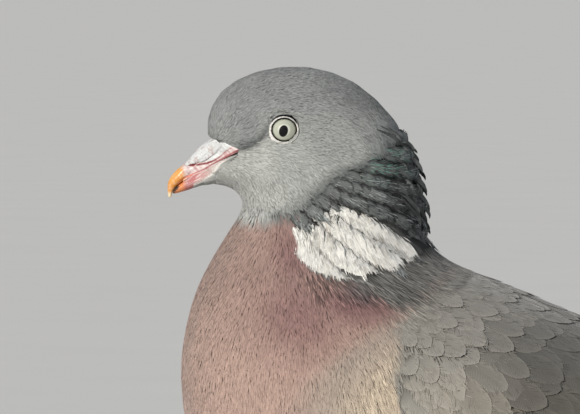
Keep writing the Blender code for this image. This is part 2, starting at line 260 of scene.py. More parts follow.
def toned_material(name, texture, grain, stops, bump=None, **settings):
    """A few tones that follow a fine grain, which may raise the surface too."""
    made, tree, shader = new_material(name, **settings)
    place = node(tree, "ShaderNodeTexCoord").outputs["Object"]
    height = node(tree, texture, grain, {"Vector": place}).outputs[0]
    tone = node(tree, "ShaderNodeValToRGB", links={"Fac": height}, stops=stops)
    link_shader(tree, shader, Base_Color=tone.outputs[0])
    if bump:
        raised = node(tree, "ShaderNodeBump", bump, {"Height": height})
        link_shader(tree, shader, Normal=raised.outputs[0])
    return made


def feather_material(name, barb_mm, barb_depth, roughness, slant=0.8):
    """Feather vanes: keratin barbs side by side, matt, with a soft sheen.

    The barbs slant from the rachis to the edge. Real ones lie 0.1 mm apart; here they are drawn
    coarser, so that they can show.
    """
    made, tree, shader = new_material(
        name, Roughness=roughness, Sheen_Weight=0.25, Sheen_Roughness=0.5, Specular_IOR_Level=0.3
    )
    colour = node(tree, "ShaderNodeVertexColor", {"layer_name": "Plumage"})
    vane = node(tree, "ShaderNodeUVMap", {"uv_map": "Vane"})
    split = node(tree, "ShaderNodeSeparateXYZ", links={0: vane.outputs[0]})
    off = node(tree, "ShaderNodeMath", {"operation": "ABSOLUTE"}, {0: split.outputs[0]})
    lean = node(
        tree, "ShaderNodeMath", {"operation": "MULTIPLY", 1: -slant}, {0: off.outputs[0]}
    )
    along = node(
        tree, "ShaderNodeMath", {"operation": "ADD"}, {0: split.outputs[1], 1: lean.outputs[0]}
    )
    drift = node(
        tree, "ShaderNodeTexNoise", {"Scale": 0.6, "Detail": 2.0}, {"Vector": vane.outputs[0]}
    )
    bent = node(
        tree, "ShaderNodeMath", {"operation": "MULTIPLY_ADD", 1: 1.4},
        {0: drift.outputs["Fac"], 2: along.outputs[0]},
    )
    turns = node(
        tree, "ShaderNodeMath", {"operation": "MULTIPLY", 1: 2 * math.pi / barb_mm},
        {0: bent.outputs[0]},
    )
    wave = node(tree, "ShaderNodeMath", {"operation": "SINE"}, {0: turns.outputs[0]})
    light = node(
        tree, "ShaderNodeMapRange",
        {"From Min": -1.0, "From Max": 1.0, "To Min": 1.0 - barb_depth, "To Max": 1.0 + barb_depth},
        {"Value": wave.outputs[0]},
    )
    shade = node(
        tree, "ShaderNodeVectorMath", {"operation": "SCALE"},
        {0: colour.outputs["Color"], "Scale": light.outputs[0]},
    )
    raised = node(
        tree, "ShaderNodeBump", {"Strength": 0.25, "Distance": 0.2 * MM},
        {"Height": wave.outputs[0]},
    )
    link_shader(tree, shader, Base_Color=shade.outputs[0], Normal=raised.outputs[0])
    return made


# ---------------------------------------------------------------- the bird's form


class Form:
    """The plumage's outer shape. Feathers lie on it, and are placed by it."""

    def __init__(self, obj):
        self.points = points_of(obj)
        self.normals = normals_of(obj)
        self.faces = faces_of(obj)
        self.tree = BVHTree.FromPolygons(self.points.tolist(), self.faces.tolist())
        self.face_normals = unit(self.normals[self.faces].mean(axis=1))

    def snap(self, points):
        """The nearest places on the form, and the form's normals there."""
        hits = [self.tree.find_nearest(point) for point in points.tolist()]
        places = np.array([hit[0] for hit in hits])
        return places, self.face_normals[[hit[2] for hit in hits]]

    def from_side(self, x, z, side):
        """The outermost place at x and z, seen from one side, or None."""
        hit = self.tree.ray_cast((x, FAR_OUT * side, z), (0, -side, 0))
        return None if hit[0] is None else np.array(hit[0])


def joined_copies(name, nodes, grow):
    """Copies of CAD nodes, merged, grown so that they overlap, and joined to one object."""
    copies = []
    for node_name in nodes:
        copy = bpy.data.objects.new(name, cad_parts[node_name].data.copy())
        bpy.context.scene.collection.objects.link(copy)
        make_active(copy)
        bpy.ops.object.mode_set(mode="EDIT")
        bpy.ops.mesh.select_all(action="SELECT")
        bpy.ops.mesh.remove_doubles(threshold=0.000002)
        bpy.ops.object.mode_set(mode="OBJECT")
        move_points(copy, points_of(copy) + normals_of(copy) * grow)
        copies.append(copy)
    make_active(copies[0])
    for copy in copies:
        copy.select_set(True)
    if len(copies) > 1:
        bpy.ops.object.join()
    joined = bpy.context.view_layer.objects.active
    joined.name = name
    joined.data.name = name
    joined.data.materials.clear()
    for attribute in list(joined.data.color_attributes):
        joined.data.color_attributes.remove(attribute)
    while joined.data.uv_layers:
        joined.data.uv_layers.remove(joined.data.uv_layers[0])
    return joined


def relax(obj, rounds, share_of=None):
    """Evens out a mesh's facets and steps, and keeps its volume.

    With a share for each point, it flattens them by that much and keeps their mean size.
    """
    mesh = obj.data
    edges = np.empty(len(mesh.edges) * 2, np.int32)
    mesh.edges.foreach_get("vertices", edges)
    ends = edges.reshape(-1, 2)
    start = np.concatenate([ends[:, 0], ends[:, 1]])
    stop = np.concatenate([ends[:, 1], ends[:, 0]])
    places = points_of(obj)
    share = np.maximum(np.bincount(start, minlength=len(places)), 1)[:, None]
    for _ in range(rounds):
        for pull in (0.5, -0.525) if share_of is None else (0.6 * share_of[:, None],):
            around = np.stack(
                [np.bincount(start, places[stop, k], len(places)) for k in range(3)], axis=1
            )
            places = places + pull * (around / share - places)
    move_points(obj, places)


def rebuilt(name, nodes, grow, voxel, rounds):
    """CAD nodes merged to one even, closed surface."""
    obj = joined_copies(name, nodes, grow)
    apply_modifier(obj, "REMESH", mode="VOXEL", voxel_size=voxel * MM)
    relax(obj, rounds)
    obj.data.shade_smooth()
    return obj


# The crease where the forehead's feathers overhang the lores, from the bill to the eye.
BROW = np.array([(16.5, -24.6), (13.0, -24.0), (10.0, -22.6), (7.6, -20.6), (6.2, -18.6)])
# The furrows between the neck's pleats fan out from one place on the cheek.
FAN = np.array((22.0, -23.0))
FURROWS = (-5.0, 0.0, 5.1, 9.8, 14.2, 18.6, 23.5, 29.3, 36.3, 44.0, 52.0)
FAN_START = ((-5, 0, 5, 10, 17, 25, 45, 60), (55, 52, 46, 39, 35, 32.5, 30.5, 29))


def fan_place(points):
    """Distance from the fan's centre and angle below the horizontal, in the side view."""
    x, z = FAN[0] - points[:, 0], FAN[1] - points[:, 2]
    return np.hypot(x, z), np.degrees(np.arctan2(z, x))


# The bare sides of the bill reach back between the feathers to the corner of the mouth.
BARE = np.array(
    [(40.0, -14.0), (22.9, -21.0), (20.4, -21.8), (18.9, -22.5), (17.2, -23.3), (15.6, -24.0),
     (15.8, -25.3), (17.9, -27.0), (19.9, -28.5), (21.6, -30.2), (23.6, -32.2), (25.8, -33.6),
     (27.9, -34.7), (40.0, -42.0)]
)


def inside(points, outline):
    """Which places lie inside a closed outline, in the side view."""
    x, z = points[:, 0], points[:, 2]
    within = np.zeros(len(points), bool)
    for (ax, az), (bx, bz) in zip(outline, np.roll(outline, -1, axis=0)):
        crosses = (az > z) != (bz > z)
        edge = ax + (z - az) * (bx - ax) / ((bz - az) if bz != az else 1e-9)
        within ^= crosses & (x < edge)
    return within


def along_line(points, line):
    """Each stretch of a line in the side view, for places near it.

    Gives the places' distances from the stretch, their offsets from it, how far along the
    whole line their nearest points lie, and the stretch's direction.
    """
    flat = points[:, [0, 2]]
    run = 0.0
    for a, b in zip(line, line[1:]):
        step = b - a
        length = np.linalg.norm(step)
        share = np.clip(((flat - a) @ step) / length**2, 0, 1)
        off = flat - a - share[:, None] * step
        yield np.linalg.norm(off, axis=1), off, run + share * length, step / length
        run += length


def away_from_line(points, line):
    """Distance from a line in the side view, and how far along it, from 0 to 1."""
    best, share_of = np.full(len(points), 1e9), np.zeros(len(points))
    whole = np.linalg.norm(np.diff(line, axis=0), axis=1).sum()
    for away, _, along, _ in along_line(points, line):
        share_of = np.where(away < best, along / whole, share_of)
        best = np.minimum(best, away)
    return best, share_of


def bare_bill(points):
    """Which places lie in the bare part round the bill, in the side view."""
    return inside(points, BARE)


def above_brow(points):
    """Height above the brow crease, in the side view, and how near its middle stretch it is."""
    crease = np.interp(points[:, 0], BROW[::-1, 0], BROW[::-1, 1])
    near = smooth(points[:, 0], 4.5, 8.0) * smooth(points[:, 0], 17.5, 14.0)
    return points[:, 2] - crease, near


# The outline of the white neck patch
WHITE = np.array(
    [(-0.6, -46.7), (-2.0, -50.7), (-2.3, -54.4), (-6.0, -57.8), (-11.0, -60.4), (-14.7, -60.9),
     (-18.1, -60.8), (-21.4, -61.4), (-24.4, -59.2), (-31.5, -58.2), (-37.2, -55.7),
     (-39.0, -53.1), (-34.2, -49.0), (-29.5, -44.6), (-21.4, -41.4), (-16.4, -40.2),
     (-12.0, -42.0), (-8.3, -44.3), (-5.5, -46.2)]
)
# Lower edge of the pleats and the patch: x, then height
PATCH_LOW = (
    (-46, -42, -38, -30, -23, -15, -6, -1, 0),
    (-52, -52.5, -55, -58, -60.5, -60.5, -57.5, -48, 0),
)
# The dark, hatched band round the base of the neck, behind the patch and below it.
BELT = np.array(
    [(-24, -59.5), (-31.5, -58.3), (-37.2, -55.8), (-39.5, -51), (-42, -47), (-49, -55),
     (-48.5, -58), (-42.8, -62), (-36, -68), (-31.5, -69), (-26, -66.5), (-23, -63)], float
)


def past_edge(points, outline):
    """Distance outside a closed outline in the side view; negative inside it."""
    away = away_from_line(points, np.vstack([outline, outline[:1]]))[0]
    return np.where(inside(points, outline), -away, away)


def in_patch(points):
    """Place in the white neck patch: below 1 inside it, 1 at its edge, 2 at 8 mm from it."""
    return 1 + past_edge(points, WHITE) / 8


def kept_in_patch(form, roots, ways, length, flat, limit):
    """How much of each straight path from its root lies inside the patch's edge."""
    stations = np.linspace(0, 1, 11)
    share = np.zeros(len(roots))
    for t, (place, _, _) in zip(stations, walk(form, roots, ways, length, stations, flat=flat)):
        share = np.where(in_patch(place) < limit, t, share)
    return share


def over_low_edge(points):
    """Height above the lower edge of the pleats and the patch, in the side view."""
    return points[:, 2] - np.interp(points[:, 0], *PATCH_LOW)


def pleat_zone(points):
    """1 where the neck's feathers lie in pleats, 0 elsewhere."""
    r, turn = fan_place(points)
    start = np.interp(turn, *FAN_START)
    sides = smooth(turn, -6.5, -4.5) * smooth(turn, 47, 43) * smooth(r, 75, 69)
    return smooth(r, start - 2.5, start + 1.5) * sides * smooth(over_low_edge(points), -1, 1)


def crest_of(points):
    """1 on the crests of the neck's pleats, 0 in the furrows between them."""
    row = np.interp(fan_place(points)[1], FURROWS, range(len(FURROWS)))
    return np.abs(np.sin(math.pi * row)) ** 0.7


def relief(points):
    """How far the plumage swells out or in from the plain form."""
    height, near = above_brow(points)
    brow = 0.7 * smooth(height, -0.4, 0.6) * smooth(height, 7.0, 1.5) * near
    lores = -0.4 * smooth(height, 0.3, -0.6) * smooth(height, -7.0, -2.0) * near
    pleats = 1.5 * (crest_of(points) - 0.62) * pleat_zone(points)
    return brow + lores + pleats


# ---------------------------------------------------------------- the lie and the markings

# The lie of the feathers in the side view: x, z, and the angle below the backward horizontal.
LIE = np.array(
    [
        (22, -13, -72), (18.5, -6, -50), (12, -3, -24), (2, 0, 2), (-10, -2, 14), (-20, -7, 36),
        (-29, -15, 56), (14, -21, -22), (10, -14, -30), (2, -10, 0), (-8, -16, 6), (-12, -26, 22),
        (18, -30, 18), (6, -28, 20), (17, -36, 40), (9, -37, 48), (-4, -36, 46), (14.5, -43, 84),
        (-33, -22, 64), (-38, -32, 74), (-42, -46, 66), (-24, -34, 44), (-24, -50, 46),
        (-6, -46, 78), (8, -50, 90), (20, -54, 100), (28, -68, 96), (33, -90, 90), (12, -75, 86),
        (-6, -66, 74), (-8, -86, 80), (-30, -62, 56), (-24, -80, 64), (-26, -96, 70),
        (-50, -58, 32), (-56, -72, 38), (-100, -80, 23), (-100, -110, 24), (-170, -112, 20),
        (-170, -130, 17), (-210, -130, 16), (-205, -140, 15), (-240, -145, 14), (28, -116, 76),
        (12, -140, 52), (-4, -160, 30), (-40, -178, 4), (-90, -180, -6), (-135, -166, -12),
        (-175, -152, -9), (-205, -146, 0), (-40, -140, 36), (-80, -160, 16), (-12, -115, 66),
        (-62, -190, 62), (-76, -196, 70), (-66, -200, 68), (-84, -192, 50),
    ],
    float,
)


def lie_of(points, normals):
    """The direction in which the feathers lie: a unit vector along the surface."""
    away = np.hypot(points[:, 0, None] - LIE[:, 0], points[:, 2, None] - LIE[:, 1])
    weight = 1 / (away**2 + 6) ** 1.7
    fall = np.radians(LIE[:, 2])
    back = (weight * -np.cos(fall)).sum(1)
    down = (weight * -np.sin(fall)).sum(1)
    way = unit(np.stack([back, np.zeros(len(points)), down], axis=1))
    return unit(way - dot(way, normals) * normals)


def plumage(points, colours):
    """The plumage's colour at each place, the same for skin and coat."""
    x, z = points[:, 0], points[:, 2]
    r, turn = fan_place(points)
    height, near = above_brow(points)

    # Head: pale cheeks and throat, darker forehead, crown and nape
    crown = smooth(z, -27, -7) * smooth(x, 27, 20)
    crown = np.maximum(crown, smooth(x, -12, -30) * smooth(z, -33, -18))
    shade = mix(colours["cheek"], colours["crown"], crown * 0.9)
    shade = shade * (1 - 0.24 * smooth(x, -8, -24) * smooth(z, -17, -9))[:, None]
    # A dark band just above the brow crease: painted shade under the brow's overhang.
    lores = smooth(height, -0.2, 0.3) * smooth(height, 4.5, 0.8) * near
    pale = smooth(height, 0.15, -0.35) * smooth(x, 2, 8) * smooth(z, -36, -30)
    shade = layered(
        shade,
        (colours["forehead"], smooth(x, 5, 12) * smooth(height, -0.3, 0.5)),
        (colours["hackles"], lores * 0.8),
        (colours["throat"], np.maximum(pale, smooth(z, -32, -40) * smooth(x, -4, 6))),
        (colours["crown"], 0.35 * spot_at(points, -11, -25, 7, 6)),
    )

    # Neck: dark, glossed green above and purple below
    start = np.interp(turn, *FAN_START)
    nape = smooth(r, start - 6, start + 2) * smooth(turn, -14, 2) * smooth(z, -14, -22)
    nape = np.maximum(nape, smooth(r, 28, 33) * smooth(turn, 20, 28) * smooth(x, 4, -5))
    nape = np.maximum(nape, smooth(x, 10, 2) * smooth(z, -39.5, -44))
    green = nape * spot_at(points, -29, -26, 6, 4) * 0.25
    shade = layered(
        shade,
        (colours["hackles"], nape),
        (colours["green_gloss"], green * smooth(ripple(points, 3, 8), -0.2, 0.6)),
    )

    # Breast: mauve, richest high up, fading down and to the sides
    edge = np.interp(x, (-4, 2, 5, 8, 12, 16, 20), (-45, -45.2, -45.8, -46.7, -46.7, -46, -45))
    edge = edge + 0.5 * ripple(points, 3, 5)
    breast = smooth(z, edge + 2.2, edge - 1.4) * smooth(x, -12, -1)
    under = smooth(in_patch(points), 1.0, 1.1) * smooth(z, -50, -55)
    breast = np.maximum(breast, under)
    dusk = spot_at(points, -20, -67.5, 17, 7)
    dusk = np.maximum(dusk, 0.8 * spot_at(points, -1, -54, 7, 10))
    dusk = np.maximum(dusk, 0.8 * spot_at(points, -3, -71, 14, 13))
    mauve = layered(
        colours["breast_high"],
        (colours["breast"], smooth(z, -58, -88)),
        (colours["breast_low"], smooth(z, -88, -128)),
        (colours["purple_gloss"], dusk),
    )
    belt = smooth(x, -10, -24) * smooth(in_patch(points), 2.1, 1.2) * smooth(z, -48, -54)
    over_side = z + 0.66 * x + 89
    side = 0.85 * smooth(over_side, 1, -7) * smooth(x + 0.3 * (z + 80), 0, -18)
    cream = smooth(x + 0.16 * (z + 80), -8, -28) * smooth(over_side, -5, -20)
    band = smooth(past_edge(points, BELT) + 0.8 * ripple(points, 2, 6), 1.5, -1.0)
    shade = layered(
        shade,
        (mauve, breast),
        (colours["hackles"], belt * 0.9),
        (colours["shoulder"], side),
        (colours["cream"], cream),
        (mixed(colours["hackles"], colours["shoulder"], 0.25), band),
    )
    # A dark spot just behind the white patch, at the base of the nape: a painted shadow.
    shade = shade * (1 - 0.8 * spot_at(points, -42, -53, 3, 3))[:, None]

    # Belly and under the tail: pale
    belly = smooth(z + 0.12 * x + 6 * ripple(points, 9, 4), -112, -156)

    # Back, rump and upper tail coverts: brown-grey, then blue-grey
    back = smooth(behind_front(points), -1.5, 3.0) * smooth(z - wing_low_edge(x), -1, 2)
    return layered(
        shade,
        (colours["belly"], belly),
        (colours["under_tail"], smooth(x, -120, -170) * smooth(z, -132, -142)),
        (colours["mantle"], back),
        (colours["rump"], back * smooth(x, -120, -160)),
        (colours["patch"], smooth(in_patch(points), 1.04, 0.96)),
    )


# ---------------------------------------------------------------- feathers as joined meshes

BAKE_PATCH = 0.003  # a feather's width in the bake, where feathers share the skin's unwrap
CELL_SHARE = 0.86  # how much of its own cell a feather fills, where each has one
# The line round which the skin is unwrapped, in the side view
SPINE = np.array(
    [(30, -30), (12, -20), (-6, -19), (-13, -30), (-13, -46), (-12, -62), (-20, -84),
     (-42, -108), (-80, -126), (-130, -136), (-200, -139), (-310, -168)], float
)


def unwrap(points):
    """A place on the skin's own unwrap: how far along the spine, and the angle round it."""
    best, along, angle = np.full(len(points), 1e9), np.zeros(len(points)), np.zeros(len(points))
    for away, off, run, way in along_line(points, SPINE):
        up = off @ np.array((way[1], -way[0]))
        nearer = away < best
        best = np.where(nearer, away, best)
        along = np.where(nearer, run, along)
        angle = np.where(nearer, np.arctan2(points[:, 1], up), angle)
    return along, angle


def spread(values):
    """Values moved to run from near 0 to near 1."""
    low, high = values.min(), values.max()
    return 0.01 + 0.98 * (values - low) / max(high - low, 1e-6)


class Coat:
    """One coat piece in the making: many small closed feathers in one mesh."""

    def __init__(self):
        self.batches = []

    def add(self, roots, vertices, faces, outward, normals, colours, across, along, width,
            length, under=None):
        """Feathers of one pattern: arrays of feather by corner, and where each is rooted.

        Outward says which faces show: those take the plumage's own soft normals. Across and
        along are the corners' places on the vane; those from under on lie on its lower side.
        """
        vane = np.stack([across, along], axis=2)
        local = np.stack([across / width[:, None], along / length[:, None] - 0.5], axis=2)
        if under:
            local[:, under:] *= 0.93
        self.batches.append((vertices, faces, outward, normals, colours, vane, local, roots))

    def build(self, name, cells=False):
        """Makes the mesh. With cells, each feather bakes to a cell of its own, in order."""
        roots = np.concatenate([batch[-1] for batch in self.batches])
        along, angle = unwrap(roots)
        if cells:
            places, size = cell_places(along, angle)
        else:
            places = np.stack([spread(along), spread(angle)], axis=1)
            size = np.array((BAKE_PATCH, BAKE_PATCH))
        corners, sizes, points, shades, vanes, bakes, shown = [], [], [], [], [], [], []
        start = first = 0
        for vertices, faces, outward, normals, colours, vane, local, _ in self.batches:
            count, each = vertices.shape[:2]
            loops = np.concatenate([np.array(face) for face in faces])
            offsets = start + np.arange(count) * each
            corners.append((loops[None, :] + offsets[:, None]).ravel())
            sizes.append(np.tile([len(face) for face in faces], count))
            signs = np.repeat([1.0 if out else -1.0 for out in outward], [len(f) for f in faces])
            shown.append((normals[:, loops] * signs[None, :, None]).reshape(-1, 3))
            points.append(vertices.reshape(-1, 3))
            shades.append(colours.reshape(-1, 3))
            vanes.append(vane.reshape(-1, 2))
            placed = places[first : first + count, None, :] + local * size
            bakes.append(placed.reshape(-1, 2))
            start += count * each
            first += count
        obj = mesh_object(
            name, np.concatenate(points), np.concatenate(corners), np.concatenate(sizes)
        )
        mesh = obj.data
        paint(mesh, "Plumage", np.concatenate(shades))
        corners = np.concatenate(corners)
        for layer, values in (("OFBake", bakes), ("Vane", vanes)):
            made = mesh.uv_layers.new(name=layer)
            flat = np.concatenate(values)[corners].astype(np.float32)
            made.data.foreach_set("uv", flat.ravel())
        mesh.uv_layers.active = mesh.uv_layers["OFBake"]
        mesh.normals_split_custom_set(np.concatenate(shown).tolist())
        return obj


def cell_places(along, angle):
    """A cell for each feather in a grid that keeps their order along and round the body."""
    count = len(along)
    columns = max(1, int(math.ceil(math.sqrt(count))))
    order = np.argsort(along, kind="stable")
    places = np.zeros((count, 2))
    rows = int(math.ceil(count / columns))
    for column in range(columns):
        mine = order[column * rows : (column + 1) * rows]
        mine = mine[np.argsort(angle[mine], kind="stable")]
        places[mine, 0] = (column + 0.5) / columns
        places[mine, 1] = (np.arange(len(mine)) + 0.5) / rows
    return places, np.array((CELL_SHARE / columns, CELL_SHARE / rows))


def mesh_object(name, points, corners, sizes):
    mesh = bpy.data.meshes.new(name)
    mesh.vertices.add(len(points))
    mesh.vertices.foreach_set("co", ((points + CROWN) * MM).astype(np.float32).ravel())
    mesh.loops.add(len(corners))
    mesh.loops.foreach_set("vertex_index", corners.astype(np.int32))
    mesh.polygons.add(len(sizes))
    starts = np.concatenate([[0], np.cumsum(sizes)[:-1]])
    mesh.polygons.foreach_set("loop_start", starts.astype(np.int32))
    mesh.update(calc_edges=True)
    mesh.validate()
    obj = bpy.data.objects.new(name, mesh)
    bpy.context.scene.collection.objects.link(obj)
    return obj


def seen_ways(flat, normals):
    """Headings along the surface that have the given directions in the side view."""
    steep = np.copysign(np.maximum(np.abs(normals[:, 1]), 0.3), normals[:, 1])
    y = -(flat[:, 0] * normals[:, 0] + flat[:, 1] * normals[:, 2]) / steep
    heads = unit(np.stack([flat[:, 0], y, flat[:, 1]], axis=1))
    return unit(heads - dot(heads, normals) * normals)


def walk(form, roots, ways, lengths, stations, flat=None):
    """Follows the form from each root; gives places, normals and headings at each station.

    With flat directions given, each path is straight in the side view.
    """
    places, normals = form.snap(roots)
    heads = unit(ways - dot(ways, normals) * normals) if flat is None else seen_ways(flat, normals)
    track = [(places, normals, heads)]
    for near, far in zip(stations, stations[1:]):
        places, normals = form.snap(places + heads * (lengths * (far - near))[:, None])
        heads = unit(heads - dot(heads, normals) * normals)
        if flat is not None:
            heads = seen_ways(flat, normals)
        track.append((places, normals, heads))
    return track


def track_of(places, normals):
    """One feather's own path: its places, normals square to it, and headings."""
    heads = unit(np.gradient(places, axis=0))
    normals = unit(normals - dot(normals, heads) * heads)
    return [(place[None], normal[None], head[None])
            for place, normal, head in zip(places, normals, heads)]


def turned(ways, normals, degrees):
    """Headings turned about the normals, each by its own angle."""
    angle = np.radians(degrees)[:, None]
    return unit(ways * np.cos(angle) + np.cross(normals, ways) * np.sin(angle))


TUFT_STATIONS = (0.0, 0.5, 1.0)
# A tuft's faces, by corner: root, left, ridge, right and tip; and which of them show
TUFT_FACES = ((0, 2, 1), (0, 3, 2), (0, 1, 3), (1, 2, 4), (2, 3, 4), (3, 1, 4))
TUFT_SHOWN = (True, True, False, True, True, False)


def for_each(count, *values):
    """Each value as one number for each feather."""
    return (np.broadcast_to(np.asarray(value, float), (count,)) for value in values)


def add_tufts(coat, form, roots, ways, colours, length, width, depth, lift, thick, root_shade,
              tip_shade=1.06, roundness=0.25, unevenness=0.07, rise=1.8, climb=2.0, track=None):
    """Thin tufts of barbs: closed lozenges with a ridge, from the skin to the surface."""
    count = len(roots)
    length, width, depth, lift, thick, dark, light = for_each(
        count, length, width, depth, lift, thick, root_shade, tip_shade
    )
    if track is None:
        track = walk(form, roots, ways, length, TUFT_STATIONS)
    tilt = unevenness * np.random.default_rng(count).normal(size=(count, 3))
    half = 0.5 * width
    points, facing = [], []
    for t, (place, normal, head) in zip(TUFT_STATIONS, track):
        height = lift * t**climb - depth * (1 - t) ** rise
        centre = place + normal * height[:, None]
        soft = unit(normal + tilt)
        if t in (0.0, 1.0):
            points.append(centre)
            facing.append(soft)
            continue
        right = np.cross(head, normal)
        ridge, edge = normal * (0.8 * thick)[:, None], right * half[:, None]
        points += [centre - edge, centre + ridge, centre + edge]
        facing += [unit(soft + right * (k * roundness)) for k in (-1, 0, 1)]
    # Each tuft is painted darker at its root, partly for the grey down at a feather's base and
    # partly as painted shade between the tufts; its two edges are a little darker than its ridge, a
    # painted shade.
    middle = dark + (light - dark) * 0.5
    shade = np.stack([dark, 0.96 * middle, middle, 0.96 * middle, light], axis=1)
    across = np.stack([0 * half, -half, 0 * half, half, 0 * half], axis=1)
    along = length[:, None] * np.array((0.0, 0.5, 0.46, 0.5, 1.0))
    coat.add(
        roots, np.stack(points, axis=1), TUFT_FACES, TUFT_SHOWN, np.stack(facing, axis=1),
        colours[:, None, :] * shade[:, :, None], across, along, width, length,
    )


def vane_stations(rows):
    """Places along a vane, from 0 at the root to 1, closer together at its rounded tip."""
    return 1 - (1 - np.linspace(0, 1, rows + 1)) ** 1.5


def vane_height(t, lift, depth):
    """How high a vane stands off the form: from its depth at the root to its lift at the tip."""
    return lift * t**2 - depth * (1 - t) ** 1.6


def vane_width(t, narrow, shoulder, tip_start, pointed):
    """A vane's width from root to tip, as a share of its widest, with an oval or pointed end."""
    rise = narrow + (1 - narrow) * math.sin(min(t / shoulder, 1) * math.pi / 2)
    past = np.clip((t - tip_start) / (1 - tip_start), 0, 0.995)
    return rise * mixed(np.sqrt(1 - past**2), (1 - past) ** 0.8, pointed)


def add_vanes(coat, form, roots, ways, base, fringe, length, width, depth, lift, thick, *, grid,
              round_tip, camber, fringe_from, seed, narrow=0.4, shoulder=0.6, fray=0.03,
              tip_from=0.84, tip_band=None, root_dim=0.62, flat=None, pointed=0.0, track=None):
    """Whole feathers: closed, cambered vanes with a rachis, a rounded tip and a frayed edge.

    The rounded tip is this many half widths long.
    """
    columns, rows = grid
    count = len(roots)
    rng = np.random.default_rng(seed)
    length, width, depth, lift, thick, round_tip, root_dim = for_each(
        count, length, width, depth, lift, thick, round_tip, root_dim
    )
    tip_start = np.maximum(1 - round_tip * 0.5 * width / length, 0.2)
    stations = vane_stations(rows)
    if track is None:
        track = walk(form, roots, ways, length, stations, flat)
    upper, lower, across, along, tone, facing = [], [], [], [], [], []
    for t, (place, normal, head) in zip(stations, track):
        right = np.cross(head, normal)
        height = vane_height(t, lift, depth)
        slope = (2 * lift * t + 1.6 * depth * (1 - t) ** 0.6) / length
        half = 0.5 * width * vane_width(t, narrow, shoulder, tip_start, pointed)
        for s in np.linspace(-1, 1, columns + 1):
            rough = 1 + fray * rng.normal(size=count) * (abs(s) > 0.9)
            drop = fray * length * 0.2 * rng.normal(size=count) * (t > 0.95)
            out = half * s * rough
            bow = -camber * half * s**2 + 0.05 * thick * (abs(s) < 0.1)
            spot = place + right * out[:, None] - head * drop[:, None]
            top = spot + normal * (height + bow)[:, None]
            upper.append(top)
            bend = right * (2.4 * camber * s) - head * (0.6 * slope)[:, None]
            facing.append(unit(normal + bend))
            lower.append(top - normal * (thick * (1 - 0.75 * abs(s)) * (1 - 0.6 * t))[:, None])
            across.append(out)
            along.append(t * length - drop)
            edge = max(float(smooth(abs(s), fringe_from, 1.0)), float(smooth(t, tip_from, 1.0)))
            colour = mix(base, fringe, np.full(count, edge))
            if tip_band is not None:
                colour = mix(colour, tip_band[0], smooth(np.full(count, t), *tip_band[1]))
            # Each vane is painted darker towards its root: partly its downy base, partly painted
            # shade under the feathers that cover it.
            dim = root_dim + (1 - root_dim) * float(smooth(t, 0.15, 0.6))
            rachis = 0.93 if abs(s) < 0.1 else 1.0
            tone.append(colour * (dim * rachis)[:, None])
    wide = columns + 1
    under = wide * (rows + 1)
    faces = []
    for k in range(rows):
        for j in range(columns):
            a = k * wide + j
            face = (a, a + 1, a + wide + 1, a + wide)
            faces += [face, tuple(under + i for i in reversed(face))]
        a, b = k * wide, (k + 1) * wide
        faces.append((a, b, b + under, a + under))
        a, b = a + columns, b + columns
        faces.append((b, a, a + under, b + under))
    for j in range(columns):
        faces.append((j, j + under, j + 1 + under, j + 1))
        a = rows * wide + j
        faces.append((a + 1, a + 1 + under, a + under, a))
    across, along = np.stack(across * 2, axis=1), np.stack(along * 2, axis=1)
    # The undersides are painted darker than the tops: a painted shade.
    colours = np.stack(tone + [shade * 0.8 for shade in tone], axis=1)
    outward = [max(face) < under or min(face) < under for face in faces]
    coat.add(
        roots, np.stack(upper + lower, axis=1), faces, outward, np.stack(facing * 2, axis=1),
        colours, across, along, width, length, under,
    )


def add_barbs(coat, form, places, ways, colours, length, width, depth, lift, barbs, along,
              reach, lean, shades, seed, thin, flat=None, over=0.04, camber=0.04, stain_and_sheen=None,
              within=None, shadow=None):
    """Loose barbs over each vane, which streak it and soften its edge."""
    rng = np.random.default_rng(seed)
    each = np.repeat(np.arange(len(places)), barbs)
    out = np.tile(np.linspace(-1, 1, barbs), len(places)) + 0.08 * rng.normal(size=len(each))
    begin = rng.uniform(*along, len(each)) - 0.28 * out**2
    run = (begin * length[each])[:, None]
    if flat is None:
        spots, normals = form.snap(places[each] + ways[each] * run)
    else:
        spots, normals = places[each], form.snap(places[each])[1]
        for _ in range(2):
            spots, normals = form.snap(spots + seen_ways(flat[each], normals) * run / 2)
    lean = np.radians(lean * out + 5 * rng.normal(size=len(each)))
    long = rng.uniform(*reach, len(each))
    paths = None if flat is None else flat[each]
    walked = walk(form, spots, ways[each], long * np.cos(lean), TUFT_STATIONS, paths)
    track = []
    for t, (place, normal, head) in zip(TUFT_STATIONS, walked):
        right = np.cross(head, normal)
        aside = 0.44 * width[each] * out + np.sin(lean) * long * t
        turn = head * np.cos(lean)[:, None] + right * np.sin(lean)[:, None]
        track.append((place + right * aside[:, None], normal, turn))
    ends = np.minimum(begin + long / length[each], 1.0)
    bow = camber * 0.5 * width[each] * out**2 - over
    low, high = (vane_height(t, lift[each], depth[each]) - bow for t in (begin, ends))
    shade = colours[each] * rng.uniform(*shades, len(each))[:, None]
    # Some barbs take a second colour: real stains on the white feathers, and a painted green sheen
    # on the hackles.
    if stain_and_sheen is not None:
        shade = mix(shade, stain_and_sheen[0], stain_and_sheen[1][each] * (rng.random(len(each)) < 0.5))
    if shadow is not None:
        shade = shade * shadow(track[1][0])[:, None]
    some = np.ones(len(each), bool)
    if within is not None:
        some = within(track[0][0]) & within(track[2][0])
    track = [tuple(values[some] for values in station) for station in track]
    add_tufts(
        coat, form, track[0][0], track[0][2], shade[some], long[some], thin, -low[some],
        high[some], 0.05, 0.95, tip_shade=1.0, rise=1.0, climb=1.0, track=track,
    )


